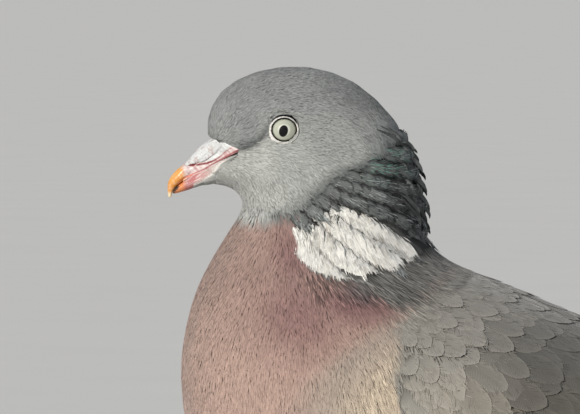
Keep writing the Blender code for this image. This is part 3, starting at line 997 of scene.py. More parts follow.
def scatter(form, spacing, keep, seed):
    """Places spread evenly but without order over the form, at least this far apart."""
    rng = np.random.default_rng(seed)
    corners = form.points[form.faces]
    middles = corners.mean(axis=1)
    wanted = keep(middles, form.face_normals)
    corners, normals = corners[wanted], form.face_normals[wanted]
    areas = 0.5 * np.linalg.norm(
        np.cross(corners[:, 1] - corners[:, 0], corners[:, 2] - corners[:, 0]), axis=1
    )
    count = int(areas.sum() * 3.2 / spacing**2)
    chosen = rng.choice(len(areas), count, p=areas / areas.sum())
    a, b = rng.random(count), rng.random(count)
    flip = a + b > 1
    a[flip], b[flip] = 1 - a[flip], 1 - b[flip]
    picked = corners[chosen]
    points = (
        picked[:, 0]
        + a[:, None] * (picked[:, 1] - picked[:, 0])
        + b[:, None] * (picked[:, 2] - picked[:, 0])
    )
    tree = KDTree(count)
    for i, point in enumerate(points.tolist()):
        tree.insert(point, i)
    tree.balance()
    taken = np.zeros(count, bool)
    crowded = np.zeros(count, bool)
    for i, point in enumerate(points.tolist()):
        if not crowded[i]:
            taken[i] = True
            for _, j, _ in tree.find_range(point, spacing):
                crowded[j] = True
    return points[taken], normals[chosen][taken]


# ---------------------------------------------------------------- what a user may change


def colour_property(name, code, text):
    return bpy.props.FloatVectorProperty(
        name=name, description=text, subtype="COLOR", size=3, min=0, max=1, default=srgb(code)
    )


def length_property(name, value, text):
    return bpy.props.FloatProperty(
        name=name, description=text, default=value * MM, min=0.0, unit="LENGTH", precision=4
    )


class PigeonSizes(bpy.types.PropertyGroup):
    """Sizes of feathers and of the scene, in metres."""

    face_spacing: length_property("Face feather spacing", 0.28, "Between two tufts on the head")
    breast_spacing: length_property("Breast feather spacing", 0.4, "Between two breast tufts")
    belly_spacing: length_property("Belly feather spacing", 0.85, "Between two belly tufts")
    face_length: length_property("Face feather length", 2.1, "Length of a tuft on the head")
    breast_length: length_property("Breast feather length", 4.4, "Length of a breast tuft")
    belly_length: length_property("Belly feather length", 7.5, "Length of a belly tuft")
    hackle_width: length_property("Hackle width", 4.6, "Width of a feather in the pleats")
    view_width: length_property("Width in view", 169.4, "What the camera sees, side to side")
    view_centre_x: length_property("View centre x", 134.7, "Middle of the view, along the bird")
    view_centre_z: length_property("View centre z", 195.4, "Middle of the view, above the floor")
    focal_length: bpy.props.FloatProperty(
        name="Focal length", description="Of the camera's lens, in millimetres", default=400.0
    )
    camera_rise: bpy.props.FloatProperty(
        name="Camera rise", description="Angle of the camera above level",
        default=math.radians(2.3), subtype="ANGLE",
    )


class PigeonColours(bpy.types.PropertyGroup):
    """Colours of the plumage and bare parts."""

    cheek: colour_property("Cheek", "#a6a9a5", "Sides of the head")
    crown: colour_property("Crown", "#8b8e8e", "Top and back of the head")
    forehead: colour_property("Forehead", "#8f9291", "Above the brow crease")
    throat: colour_property("Throat", "#b4b6b2", "Lores, chin and throat")
    hackles: colour_property("Hackles", "#666a69", "Back and sides of the neck")
    green_gloss: colour_property("Green gloss", "#5f8a7c", "Shine on the upper hackles")
    purple_gloss: colour_property("Purple gloss", "#826160", "Shine under the white patch")
    patch: colour_property("Neck patch", "#e4e3dd", "The adult's white patch")
    breast_high: colour_property("Upper breast", "#a38a80", "Below the throat")
    breast: colour_property("Breast", "#b1978b", "Middle of the breast")
    breast_low: colour_property("Lower breast", "#bfa699", "Towards the belly")
    shoulder: colour_property("Shoulder", "#a1968b", "Between breast and wing")
    cream: colour_property("Cream strip", "#c3b4a0", "Along the front of the wing")
    belly: colour_property("Belly", "#c6bdb2", "Belly and thighs")
    under_tail: colour_property("Under tail", "#b3b3b1", "Under tail coverts")
    mantle: colour_property("Mantle", "#8d8a83", "Back between the wings")
    rump: colour_property("Rump", "#868c91", "Rump and upper tail coverts")
    covert: colour_property("Coverts", "#8c877d", "Wing coverts")
    covert_edge: colour_property("Covert edges", "#a09b92", "Pale edges of coverts")
    wing_edge: colour_property("Wing edge", "#dcdad3", "White outer coverts")
    secondary: colour_property("Secondaries", "#6d6c6a", "Flight feathers of the forearm")
    primary: colour_property("Primaries", "#3b3a3a", "Flight feathers of the hand")
    primary_edge: colour_property("Primary edges", "#b9b7b2", "Thin pale outer edges")
    tail: colour_property("Tail", "#7d8387", "Upper side of the tail")
    tail_band: colour_property("Tail band", "#33353a", "Dark band at the tail's end")


def colours_now():
    group = bpy.context.scene.pigeon_colours
    return {
        name: np.array(getattr(group, name)) for name in PigeonColours.__annotations__
    }


def sizes_now():
    group = bpy.context.scene.pigeon_sizes
    return {name: getattr(group, name) for name in PigeonSizes.__annotations__}


# ---------------------------------------------------------------- places on the bird

EYE = np.array((1.7, -18.0))  # middle of each eye in the side view
EYE_OUT = 9.5
EYE_RADIUS = 5.5
IRIS = (3.9, 3.6)  # half widths of the iris, along and up
PUPIL = (1.38, 1.83)  # and of the pupil, which leans forwards
RING_RADIUS = 4.3  # the ring of bare skin round the eye, before it is shaped
RING_THICK = 0.5


class Shapes:
    """The forms that several pieces share, made once by the first operator."""

    outer = None
    wings = None


def tree_of(nodes):
    points, faces = [], []
    for name in nodes:
        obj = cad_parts[name]
        faces.append(faces_of(obj) + sum(len(p) for p in points))
        points.append(points_of(obj))
    return BVHTree.FromPolygons(
        np.concatenate(points).tolist(), np.concatenate(faces).tolist()
    )


def on_wings(points):
    """Which places lie over the wings, not over the trunk."""
    away = [Shapes.wings.find_nearest(point)[3] for point in points.tolist()]
    return np.array(away) < 1.6


def eye_place(points):
    """Place round the eye in the side view: below 1 inside the ring of bare skin."""
    return np.hypot((points[:, 0] - EYE[0]) / 4.25, (points[:, 2] - EYE[1]) / 3.95)


def coat_depth(points):
    """How far the skin lies under the feathers' surface."""
    depth = 0.4 + 0.7 * smooth(points[:, 2] + 0.3 * points[:, 0], -108, -122)
    near_eye = smooth(eye_place(points), 1.5, 1.0) * (np.abs(points[:, 1]) > 6)
    near_bill = smooth(points[:, 0], 17, 21) * (points[:, 2] > -37)
    return depth * (1 - 0.7 * np.maximum(near_eye, near_bill))


RUMP_END = -212  # the coverts reach this far back over the tail
# The front edge of the mantle and the folded wing, in the side view: height, then x.
CLOAK_FRONT = (
    (-152, -145, -131, -122, -111, -101, -94, -91, -86, -79, -75, -66, -58, -52),
    (-92, -67, -47, -39, -31, -27, -25.5, -27, -30, -31, -29.5, -38.5, -47.5, -50),
)


def behind_front(points):
    """How far behind the front edge of mantle and wing a place lies; negative before it."""
    return np.interp(points[:, 2], *CLOAK_FRONT) - points[:, 0]


def under_cloak(points):
    """Where mantle, wings and rump cover the body, with their larger feathers."""
    above = points[:, 2] - wing_low_edge(points[:, 0])
    return (behind_front(points) > 0) & (above > 0.5) & (points[:, 0] > RUMP_END)


def make_forms():
    flesh = rebuilt("outer_form", FLESH, grow=0.3, voxel=0.9, rounds=50)
    # Breast, belly and back are one even curve
    before = points_of(flesh)
    x, z = before[:, 0], before[:, 2]
    low_edge = smooth(np.abs(z - wing_low_edge(x)), 3, 9) + (x > -24)
    body = smooth(z - np.interp(x, (-12, 4), (-53, -45)), 4, -4) * smooth(x, -196, -180)
    body = body * np.minimum(low_edge, 1) * smooth(z - 0.1 * x, -172, -164)
    relax(flesh, 170, body)
    after = points_of(flesh)
    shrunk = dot(before - after, normals_of(flesh))[:, 0]
    front = body * smooth(x, -30, -10)
    places = after + normals_of(flesh) * (0.6 * front * np.clip(shrunk, 0, 1.5))[:, None]
    # The nape's plain outline lies inside the loose feather ends
    nape = np.interp(places[:, 2], (-60, -53, -46, -34, -26, -17), (0, 1.5, 2.5, 2.1, 1.1, 0))
    places[:, 0] += nape * smooth(places[:, 0], -22, -34)
    places = places + normals_of(flesh) * relief(places)[:, None]
    # The lids' skin rises to the eyeball all round
    off = np.hypot(places[:, 0] - EYE[0], places[:, 2] - EYE[1])
    lid = EYE_OUT + 3.75 - 0.35 * np.maximum(off - 3.9, 0)
    out = np.abs(places[:, 1])
    raised = np.maximum(lid - out, 0) * (out > 6) * smooth(off, 9.0, 4.8)
    places[:, 1] += np.sign(places[:, 1]) * raised
    # The chin is slender where it runs into the lower bill
    chin = smooth(places[:, 0], 10, 16) * smooth(places[:, 2], -30, -34)
    places[:, 2] += 1.1 * chin * smooth(np.abs(places[:, 1]), 9, 5)
    move_points(flesh, places)
    Shapes.outer = Form(flesh)
    Shapes.wings = tree_of([n for n in FLESH if n.startswith(("wing", "primaries"))])
    return flesh


class PIGEON_OT_skin(bpy.types.Operator):
    """One skin over head, neck, trunk, thighs and wings, under the feathers"""

    bl_idname = "pigeon.skin"
    bl_label = "Skin"

    def execute(self, context):
        skin = make_forms()
        skin.name = "skin"
        apply_modifier(skin, "REMESH", mode="VOXEL", voxel_size=1.36 * MM)
        relax(skin, 2)
        skin.data.shade_smooth()
        places = points_of(skin)
        colours = plumage(places, colours_now())
        colours[under_cloak(places) & on_wings(places)] = colours_now()["covert"]
        bare = (bare_bill(places) & (places[:, 0] > 16.2))[:, None]
        inset = normals_of(skin) * coat_depth(places)[:, None]
        drawn_in = np.array((2.2, 0.0, 0.0)) + places * np.array((0.0, 0.45, 0.0))
        move_points(skin, places - np.where(bare, drawn_in, inset))
        relax(skin, 2)
        # The skin is painted darker than the feathers over it: partly the grey down, partly painted
        # shade in the gaps between feathers. In the neck's pleats it is near black, the feathers'
        # dark bases deepened into a painted shadow in the furrows.
        dark = 0.92 - 0.45 * hatching(places)
        dark = np.where(pleat_zone(places) > 0.5, 0.1, dark)[:, None]
        paint(skin.data, "Plumage", colours * dark)
        down = grained_material(
            "down over skin", "Plumage", {"Scale": 1.4 / MM, "Detail": 3.0},
            {"Strength": 0.4, "Distance": 0.3 * MM}, Roughness=0.9,
        )
        finish_piece(skin, down, FLESH)
        return {"FINISHED"}


def tinted(colours, points, rng, grain, patches=0.04, size=6.0):
    """Each feather's colour, a little lighter or darker than the next."""
    shade = 1 + grain * rng.normal(size=len(points)) + patches * ripple(points, size, 11)
    return colours * shade[:, None]


def free_of_face(form, points, ways, length):
    """Which tufts stay clear of the eye and the bill."""
    tips, _ = form.snap(points + ways * length)
    clear = (eye_place(points) > 1.0) & (eye_place(tips) > 0.93)
    return clear & ~bare_bill(points) & ~bare_bill(tips)


def hatching(points):
    """Where the barbs part and show dark dashes: under the white patch and by the wing."""
    x, z, from_front = points[:, 0], points[:, 2], behind_front(points)
    round_patch = smooth(in_patch(points), 2.1, 1.2) * smooth(x, 2, -8)
    round_patch = np.maximum(round_patch, smooth(past_edge(points, BELT), 2, -1))
    before_wing = smooth(np.abs(from_front + 4), 7, 2) * smooth(z, -76, -82)
    neck_base = smooth(from_front, -13, -6) * smooth(z, -74, -66)
    return np.maximum(round_patch, np.maximum(before_wing * 0.4, neck_base * 0.5)) * (z < -48)


def soft_coat(name, spacing, keep, length, width, seed, material, lift, thick, grain,
              root_shade=0.8, sway=6.0, head=False, roundness=0.2, unevenness=0.06):
    """Scattered tufts over one region of both sides of the body."""
    form, colours = Shapes.outer, colours_now()
    rng = np.random.default_rng(seed)
    roots, normals = scatter(form, spacing, keep, seed)
    open_barbs = hatching(roots)
    stays = rng.random(len(roots)) > 0.42 * open_barbs
    roots, normals, open_barbs = roots[stays], normals[stays], open_barbs[stays]
    ways = lie_of(roots, normals)
    ways = turned(ways, normals, sway * rng.normal(size=len(roots)) + 9 * ripple(roots, 5, seed))
    long = length * rng.uniform(0.85, 1.15, len(roots)) * (1 + 0.55 * open_barbs)
    if head:
        clear = free_of_face(form, roots, ways, length)
        roots, ways, long, open_barbs = (v[clear] for v in (roots, ways, long, open_barbs))
    shown = roots + ways * long[:, None] * 0.7
    shade = tinted(plumage(shown, colours), shown, rng, grain)
    shade = shade * (1 + 0.75 * open_barbs * rng.uniform(-1, 1, len(roots)))[:, None]
    # Where the barbs part, the tufts' roots are painted darker: partly the dark down between them,
    # partly painted shade in the gaps.
    dark = root_shade - 0.4 * open_barbs
    light = 1.04 + 0.4 * open_barbs * rng.uniform(-1, 1, len(roots))
    wide = width * rng.uniform(0.85, 1.2, len(roots)) * (1 - 0.3 * open_barbs)
    lift = lift * rng.uniform(0.3, 1.8, len(roots))
    depth = coat_depth(roots) + 0.1
    for suffix, mine in (("_left", roots[:, 1] >= 0), ("_right", roots[:, 1] < 0)):
        coat = Coat()
        add_tufts(
            coat, form, *(v[mine] for v in (roots, ways, shade, long, wide, depth, lift)), thick,
            dark[mine], light[mine], roundness, unevenness, rise=3.2 - 1.6 * open_barbs[mine],
        )
        finish_piece(coat.build(name + suffix), material)


class PIGEON_OT_soft_coat(bpy.types.Operator):
    """The small, soft feathers of head, neck, breast, belly and thighs"""

    bl_idname = "pigeon.soft_coat"
    bl_label = "Soft coat"

    def execute(self, context):
        sizes = {name: value / MM for name, value in sizes_now().items()}
        face = feather_material("face feathers", 0.4, 0.04, 0.85)
        body = feather_material("body feathers", 0.6, 0.05, 0.85)

        def body_side(points):
            ends = 2.5 - 1.8 * smooth(points[:, 2], -75, -79)
            cloaked = under_cloak(points) & (behind_front(points) > ends)
            fringe = (over_low_edge(points) < 2.5) & (in_patch(points) > 0.7)
            return ~cloaked & ((pleat_zone(points) < 0.5) | fringe) & (in_patch(points) > 0.7)

        def above_breast(points):
            return points[:, 2] + 1.6 * ripple(points, 2.2, 17) > -41

        def above_belly(points):
            wave = 5 * ripple(points, 7, 15) + 3 * ripple(points, 1.5, 16)
            return points[:, 2] + 0.3 * points[:, 0] + wave > -114

        soft_coat(
            "coat_head", sizes["face_spacing"],
            lambda p, n: above_breast(p) & (pleat_zone(p) < 0.5) & (p[:, 0] < 24.5),
            sizes["face_length"], 0.35, 1, face, lift=0.03, thick=0.03, head=True,
            root_shade=0.82, roundness=0.15, unevenness=0.09, sway=5.0, grain=0.14,
        )
        soft_coat(
            "coat_breast", sizes["breast_spacing"],
            lambda p, n: ~above_breast(p) & above_belly(p) & body_side(p),
            sizes["breast_length"], 0.52, 2, body, lift=0.1, thick=0.06, grain=0.1,
            root_shade=0.84, unevenness=0.1,
        )
        soft_coat(
            "coat_belly", sizes["belly_spacing"],
            lambda p, n: ~above_belly(p) & body_side(p),
            sizes["belly_length"], 1.15, 3, body, lift=0.2, thick=0.12, grain=0.04,
        )
        return {"FINISHED"}


def fan_rows(form, spacing):
    """Roots of the pleated feathers, row by row, with the row's own angle and width."""
    found = []
    rng = np.random.default_rng(21)
    for upper, lower in zip(FURROWS, FURROWS[1:]):
        turn = upper + 0.22 * (lower - upper)
        angle = math.radians(turn)
        start = float(np.interp(turn, *FAN_START)) - 3
        way = np.array((-math.cos(angle), 0.0, -math.sin(angle)))
        for side in (1, -1):
            r = start + rng.uniform(-0.8, 0.8)
            place = form.from_side(FAN[0] + way[0] * r, FAN[1] + way[2] * r, side)
            head = way.copy()
            for _ in range(40):
                spots, normals = form.snap(place[None])
                place, normal = spots[0], normals[0]
                flat = way - normal * (way @ normal)
                if np.linalg.norm(flat) > 0.35:
                    head = flat
                head = unit(head - normal * (head @ normal))
                far = float(fan_place(place[None])[0][0])
                if side * place[1] < 0.5 or far > 72:
                    break
                found.append((place, head, turn, math.radians(lower - upper) * far))
                place = place + head * spacing * rng.uniform(0.85, 1.15)
    return (np.array(values) for values in zip(*found))


class PIGEON_OT_hackles(bpy.types.Operator):
    """The pleated feathers of the neck, dark above and white in the patch"""

    bl_idname = "pigeon.hackles"
    bl_label = "Hackles and neck patch"

    def add_ruff(self, coat, form, colour):
        """Thin, pointed feather ends at the back of the neck, which stand clear of it."""
        rng = np.random.default_rng(37)
        stations = vane_stations(10)
        rows = zip(FURROWS[1:-3], FURROWS[2:])
        for (upper, lower), side, k in itertools.product(rows, (1, -1), range(8)):
            turn = math.radians(mixed(upper, lower, rng.uniform(0.1, 1.0)))
            out, edge = heading(turn), 40.0
            while form.from_side(*(FAN + edge * out), side) is not None:
                edge += 0.4
            way = heading(turn + math.radians(34 + 5 * rng.normal()))
            tip = FAN + edge * out + way * (2.2 - 0.85 * k + 0.5 * rng.normal())
            if tip[1] < -50.5:
                continue
            length = rng.uniform(7.5, 10.5)
            places, last = [], 4.0
            for t in stations:
                x, z = tip - way * length * (1 - t) + out * 6.8 * t * (1 - t)
                hit = form.from_side(x, z, side)
                last = max(last * 0.86, 0.6) if hit is None else abs(hit[1])
                y = side * (last + 0.3 * t + 0.05 * k - 0.5 * (1 - t) ** 2)
                places.append((x, y, z))
            track = track_of(np.array(places), np.array((-0.45, side, 0.1)))
            shade = (colour * rng.uniform(0.25, 1.1))[None]
            add_vanes(
                coat, form, track[0][0], track[0][2], shade, shade * 0.5, length,
                rng.uniform(0.9, 1.7), 0.0, 0.0, 0.08, grid=(4, 10), narrow=0.6, round_tip=7.0,
                camber=0.16, seed=int(rng.integers(1e6)), fringe_from=0.7, pointed=0.7,
                track=track,
            )

    def make_patch(self, form, colours, rng, places, normals, turn, wide, white):
        """White feathers: a thin vane each, under loose barbs that reach past its end."""
        steep = np.interp(places[:, 0], (-38, -28, -20, -14, -8, -2), (50, 53, 58, 70, 82, 86))
        steep = np.radians(steep + 3 * rng.normal(size=len(places)))
        flat = heading(steep)[white]
        places, normals, wide = places[white], normals[white], wide[white]
        ways = seen_ways(flat, normals)
        cross = np.sin(steep[white] - np.radians(turn[white]))
        length = np.clip(1.45 * wide / np.maximum(cross, 0.3), 6.0, 13.0)
        width = 1.15 * sizes_now()["hackle_width"] / MM * rng.uniform(0.95, 1.2, len(places))
        length = length * kept_in_patch(form, places, ways, length, flat, 1.0)
        stay = length > 3
        places, ways, flat, length, width = (
            values[stay] for values in (places, ways, flat, length, width)
        )
        coat = Coat()
        base = tinted(np.tile(colours["patch"], (len(places), 1)), places, rng, 0.05)
        depth, lift = np.full(len(places), 0.5), np.full(len(places), 0.12)
        add_vanes(
            coat, form, places, ways, base * 0.97, base * 0.9, length * 0.92, width, depth, lift,
            0.08, grid=(4, 8), round_tip=1.1, camber=0.06, fringe_from=0.85, seed=33,
            root_dim=0.75, flat=flat,
        )
        stained = smooth(ripple(places, 4, 38), 0.0, 0.8) * 0.35
        for along, seed in (((0.15, 0.75), 38), ((0.55, 1.0), 39)):
            add_barbs(
                coat, form, places, ways, base, length, width, depth, lift, 40, along, (2.2, 4.2),
                5, (0.78, 1.12), seed, thin=0.33, flat=flat, over=0.08, camber=0.06,
                stain_and_sheen=(colours["cream"] * 0.85, stained),
                within=lambda p: in_patch(p) + 0.1 * ripple(p, 0.8, 39) < 1.06,
                shadow=lambda p: 0.5 + 0.56 * smooth(crest_of(p), 0.15, 0.5),
            )
        white_look = feather_material("white neck feathers", 0.45, 0.06, 0.8)
        finish_piece(coat.build("neck_patch"), white_look)

    def execute(self, context):
        colours, form = colours_now(), Shapes.outer
        vane = sizes_now()["hackle_width"] / MM
        rng = np.random.default_rng(31)
        roots, heads, turn, wide = fan_rows(form, 2.8)
        count = len(roots)
        places, normals = form.snap(roots)
        r, _ = fan_place(places)
        past = r - np.interp(turn, *FAN_START)
        down = np.interp(past, (0, 26), (12, 24))
        behind = smooth(np.abs(places[:, 1]), 9, 3) * smooth(-places[:, 0], 26, 34)
        at_back = behind > 0.4
        flat = heading(np.radians(turn + down + 4 * rng.normal(size=count)))
        ways = seen_ways(flat, normals)
        ways = unit(np.where(at_back[:, None], unit(heads + lie_of(places, normals)), ways))
        length = rng.uniform(8.0, 10.0, count)
        tips = places + ways * length[:, None] * 0.8
        white = (in_patch(tips) < 0.93) | ((in_patch(places) < 1.0) & (turn > 36))
        gloss = spot_at(tips, -30, -28, 7, 5)
        grey = mix(colours["hackles"], colours["green_gloss"], 0.15 * gloss * rng.random(count))
        grey = tinted(grey, tips, rng, 0.14)
        # Vanes in the furrows between the pleats are painted darker: a painted shadow.
        furrow_shadow = 0.3 + 0.7 * smooth(crest_of(tips), 0.2, 0.7)[:, None]
        width = vane * rng.uniform(0.9, 1.12, count) * (1 - 0.25 * behind)
        depth, lift = np.full(count, 0.6), 0.15 + 0.35 * behind + 0.15 * rng.random(count)

        coat = Coat()
        shown = ~white & (over_low_edge(tips) > -1.5) & (turn < 42)
        for some, paths in ((shown & at_back, None), (shown & ~at_back, flat)):
            paths = None if paths is None else paths[some]
            grown = [values[some] for values in (length, width, depth, lift)]
            # Their edges are painted near black and their roots dark: partly the feathers' own dark
            # edges and bases, partly painted shade where each lies under the next.
            add_vanes(
                coat, form, places[some], ways[some], (grey * furrow_shadow)[some] * 0.95,
                grey[some] * 0.2, *grown, 0.1, grid=(6, 9), round_tip=1.7 + 0.9 * behind[some],
                camber=0.14, fringe_from=0.7, tip_from=0.9, seed=32, root_dim=0.3, flat=paths,
                pointed=0.15,
            )
            add_barbs(
                coat, form, places[some], ways[some], grey[some], *grown, 34, (0.35, 0.97),
                (1.6, 3.8), 12, (0.05, 2.3), 35, thin=0.27, flat=paths, over=0.05, camber=0.14,
                shadow=lambda p: 0.14 + 0.98 * smooth(crest_of(p), 0.25, 0.85),
                stain_and_sheen=(colours["green_gloss"] * 1.3, gloss[some]),
            )
        self.add_ruff(coat, form, colours["hackles"])
        look = feather_material("hackle feathers", 0.5, 0.12, 0.6, slant=1.3)
        finish_piece(coat.build("hackles", cells=True), look)
        self.make_patch(form, colours, rng, places, normals, turn, wide, white)
        return {"FINISHED"}


# ---------------------------------------------------------------- back, wings and tail

FALL = math.radians(23)  # slope of the folded wing
ROW_AXIS = np.array((math.cos(FALL), 0.0, math.sin(FALL)))
ROW_UP = np.array((-math.sin(FALL), 0.0, math.cos(FALL)))
# Spacing of the rows, and of feathers in a row, by how far behind the crown they lie
ROW_SPACING = ((50, 60, 72, 98, 140, 200), (2.6, 3.4, 4.8, 6.4, 7.5, 8.6))
SIDE_SPACING = ((50, 60, 72, 98, 140, 200), (3.2, 4.4, 5.8, 7.2, 8.0, 8.8))
SMALL_BACK = 108  # rows up to here have small feathers of finer mesh, with loose barbs
# Edges of groups of feathers that lie over the next group, in the side view
SEAMS = (
    np.array([(-72.0, -84.0), (-66.0, -83.2), (-60.0, -80.8), (-55.7, -79.2), (-50.1, -82.2),
              (-47.1, -83.1), (-43.0, -82.2), (-38.5, -80.6), (-34.1, -79.2)]),
    np.array([(-80.0, -108.0), (-71.0, -98.5), (-65.8, -93.0), (-58.3, -90.3), (-52.4, -86.3),
              (-49.0, -82.9)]),
)


def outline(form, back, side):
    """Places round one side of the body, from the back's middle line, on a slanting section."""
    start = -back * ROW_AXIS + 90 * ROW_UP
    top = np.array(form.tree.ray_cast(tuple(start), tuple(-ROW_UP))[0])
    centre = top - 34 * ROW_UP
    places = []
    for turn in np.radians(np.linspace(0, 150, 110)):
        way = math.cos(turn) * ROW_UP + math.sin(turn) * side * np.array((0.0, 1.0, 0.0))
        hit = form.tree.ray_cast(tuple(centre + 130 * way), tuple(-way))[0]
        if hit is not None:
            places.append(np.array(hit))
    return np.array(places)


def covert_rows(form):
    """Staggered rows of roots over back and wings, and how far each lies behind the front."""
    roots, places_back, number = [], [], 0
    back = 49.0
    while back < 236:
        gap = float(np.interp(back, *SIDE_SPACING))
        for side in (1, -1):
            ring = outline(form, back, side)
            run = np.concatenate([[0], np.cumsum(np.linalg.norm(np.diff(ring, axis=0), axis=1))])
            first = gap / 2 if number % 2 else (0 if side > 0 else gap)
            for along in np.arange(first, run[-1], gap):
                roots.append([np.interp(along, run, ring[:, k]) for k in range(3)])
                places_back.append(back)
        back += float(np.interp(back, *ROW_SPACING))
        number += 1
    return np.array(roots), np.array(places_back)


def wing_low_edge(x):
    """Height of the folded wing's lower edge in the side view."""
    return np.interp(
        -x, (30, 34, 47, 67, 92, 120, 147, 174, 199, 221, 244, 268),
        (-90, -111, -131, -144.5, -152, -155, -154, -151.5, -149, -147, -146.6, -151)
    )


class PIGEON_OT_coverts(bpy.types.Operator):
    """Mantle, back, scapulars, wing coverts and rump, in staggered rows"""

    bl_idname = "pigeon.coverts"
    bl_label = "Back and wing coverts"

    def set_seams(self, places, ways, length, depth, lift, rng):
        """Ends feathers at the seams, where they overhang, and tucks the next ones under."""
        tips = places + ways * length[:, None]
        for seam in SEAMS:
            near = (tips[:, 0] > seam[0, 0]) & (tips[:, 0] < seam[-1, 0])
            over_root = places[:, 2] - np.interp(places[:, 0], *seam.T)
            over_tip = tips[:, 2] - np.interp(tips[:, 0], *seam.T)
            share = over_root / np.maximum(over_root - over_tip, 0.1)
            near &= over_root > 0.5
            ends = near & (share > 0.72) & (share < 1.35)
            length = np.where(ends, length * share * rng.uniform(0.97, 1.03, len(length)), length)
            lift = np.where(ends, 0.45 + 0.15 * rng.random(len(length)), lift)
            under = near & (share <= 0.72)
            lift = np.where(under, 0.0, lift)
            depth = np.where(under, 0.5, depth)
        return length, depth, lift

    def execute(self, context):
        colours, form = colours_now(), Shapes.outer
        rng = np.random.default_rng(41)
        roots, back = covert_rows(form)
        wanted = under_cloak(roots) & (back < 190)
        wanted |= (roots[:, 2] > -126) & (roots[:, 0] < -160) & (roots[:, 0] > RUMP_END)
        roots, back = roots[wanted], back[wanted]
        places, normals = form.snap(roots + rng.normal(size=roots.shape) * 0.6)
        on_wing = on_wings(roots)
        gap = np.interp(back, *ROW_SPACING)
        width = 1.5 * np.interp(back, *SIDE_SPACING) * rng.uniform(0.85, 1.2, len(roots))
        length = 2.9 * gap * rng.uniform(0.75, 1.25, len(roots))
        ways = lie_of(places, normals)
        ways = turned(ways, normals, 8 * rng.normal(size=len(roots)))
        shown = places + ways * length[:, None] * 0.7
        x, z = shown[:, 0], shown[:, 2]
        from_front = behind_front(shown)
        covert = mix(colours["mantle"], colours["covert"], smooth(-z, 80, 100))
        base = layered(
            plumage(shown, colours),
            (colours["mantle"], smooth(from_front, -2, 2) * smooth(-x, 125, 115)),
            (covert, smooth(from_front, 0, 5) * on_wing),
        )
        base = tinted(base, shown, rng, 0.04, 0.05, 14)
        shaded = smooth(-x, 44, 76) * smooth(z, -64, -80)
        base = base * (1 - 0.62 * shaded * smooth(-x, 150, 100))[:, None]
        fringe = mix(base * 1.14, colours["covert_edge"], 0.3 * (1 - 0.8 * shaded))
        white = on_wing & (z - wing_low_edge(x) < 7.5) & (x > -128) & (x < -36)
        base[white] = colours["wing_edge"]
        fringe[white] = colours["wing_edge"]
        halfway = mix(base, fringe, np.full(len(base), 0.5))
        material = feather_material("covert feathers", 0.6, 0.07, 0.75)
        depth = np.full(len(roots), 0.28)
        lift = 0.03 + 0.006 * width + 0.05 * rng.random(len(roots))
        lift[rng.random(len(roots)) < 0.3] += 0.3
        length, depth, lift = self.set_seams(places, ways, length, depth, lift, rng)
        # Feathers that would cross a sharp edge of the form are left out
        bent = dot(normals, form.snap(places + ways * length[:, None])[1])[:, 0]
        even = (bent > 0.6) | (back < 120)
        # Along the wing's front edge the coverts' roots are painted near black: a painted shadow in
        # the gap under the cream feathers in front.
        first = smooth(behind_front(places), 5, 1) * smooth(places[:, 2], -76, -80)
        root_dim = mixed(0.85, 0.12, first)
        grown = (length, width, depth, lift)
        for name, mine in (
            ("mantle_and_rump", ~on_wing),
            ("coverts_left", on_wing & (roots[:, 1] > 0)),
            ("coverts_right", on_wing & (roots[:, 1] <= 0)),
        ):
            coat = Coat()
            for near, grid in ((back < SMALL_BACK, (6, 8)), (back >= SMALL_BACK, (4, 6))):
                some = mine & near & even
                add_vanes(
                    coat, form, *(values[some] for values in (places, ways, base, fringe, *grown)),
                    0.07, grid=grid, round_tip=1.15, camber=0.04, fray=0.04, seed=42,
                    root_dim=root_dim[some], fringe_from=0.6, tip_from=0.8, pointed=0.4,
                )
            near = mine & (back < SMALL_BACK)
            add_barbs(
                coat, form, *(values[near] for values in (places, ways, halfway, *grown)), 26,
                (0.5, 0.98), (1.8, 3.6), 34, (0.72, 1.2), 43, thin=0.28,
            )
            finish_piece(coat.build(name, cells=True), material)
        return {"FINISHED"}


def flight_feather_plan():
    """Root, tip, width, layer and kind of each flight feather, innermost first."""
    plan = []
    for i in range(4):
        tip = np.array((-168 - 12.5 * i, -110.5 - 6.8 * i))
        plan.append((tip, 64 + 3 * i, 22.5, 21.0 - i, 1.5 - 0.3 * i, "tertial"))
    for i in range(8):
        tip = np.array((-207 + 3.0 * i, -136.0 - 1.6 * i))
        plan.append((tip, 88, 18 - 1.4 * i, 14.0, 0.2 - 0.22 * i, "secondary"))
    for i in range(7):
        tip = np.array((-222 - 8.6 * i + 0.13 * i * i, -139.2 - 1.9 * i))
        plan.append((tip, 104 + 3 * i, 16 - 1.1 * i, 12.0 - 0.5 * i, -1.4 - 0.3 * i, "primary"))
    return plan


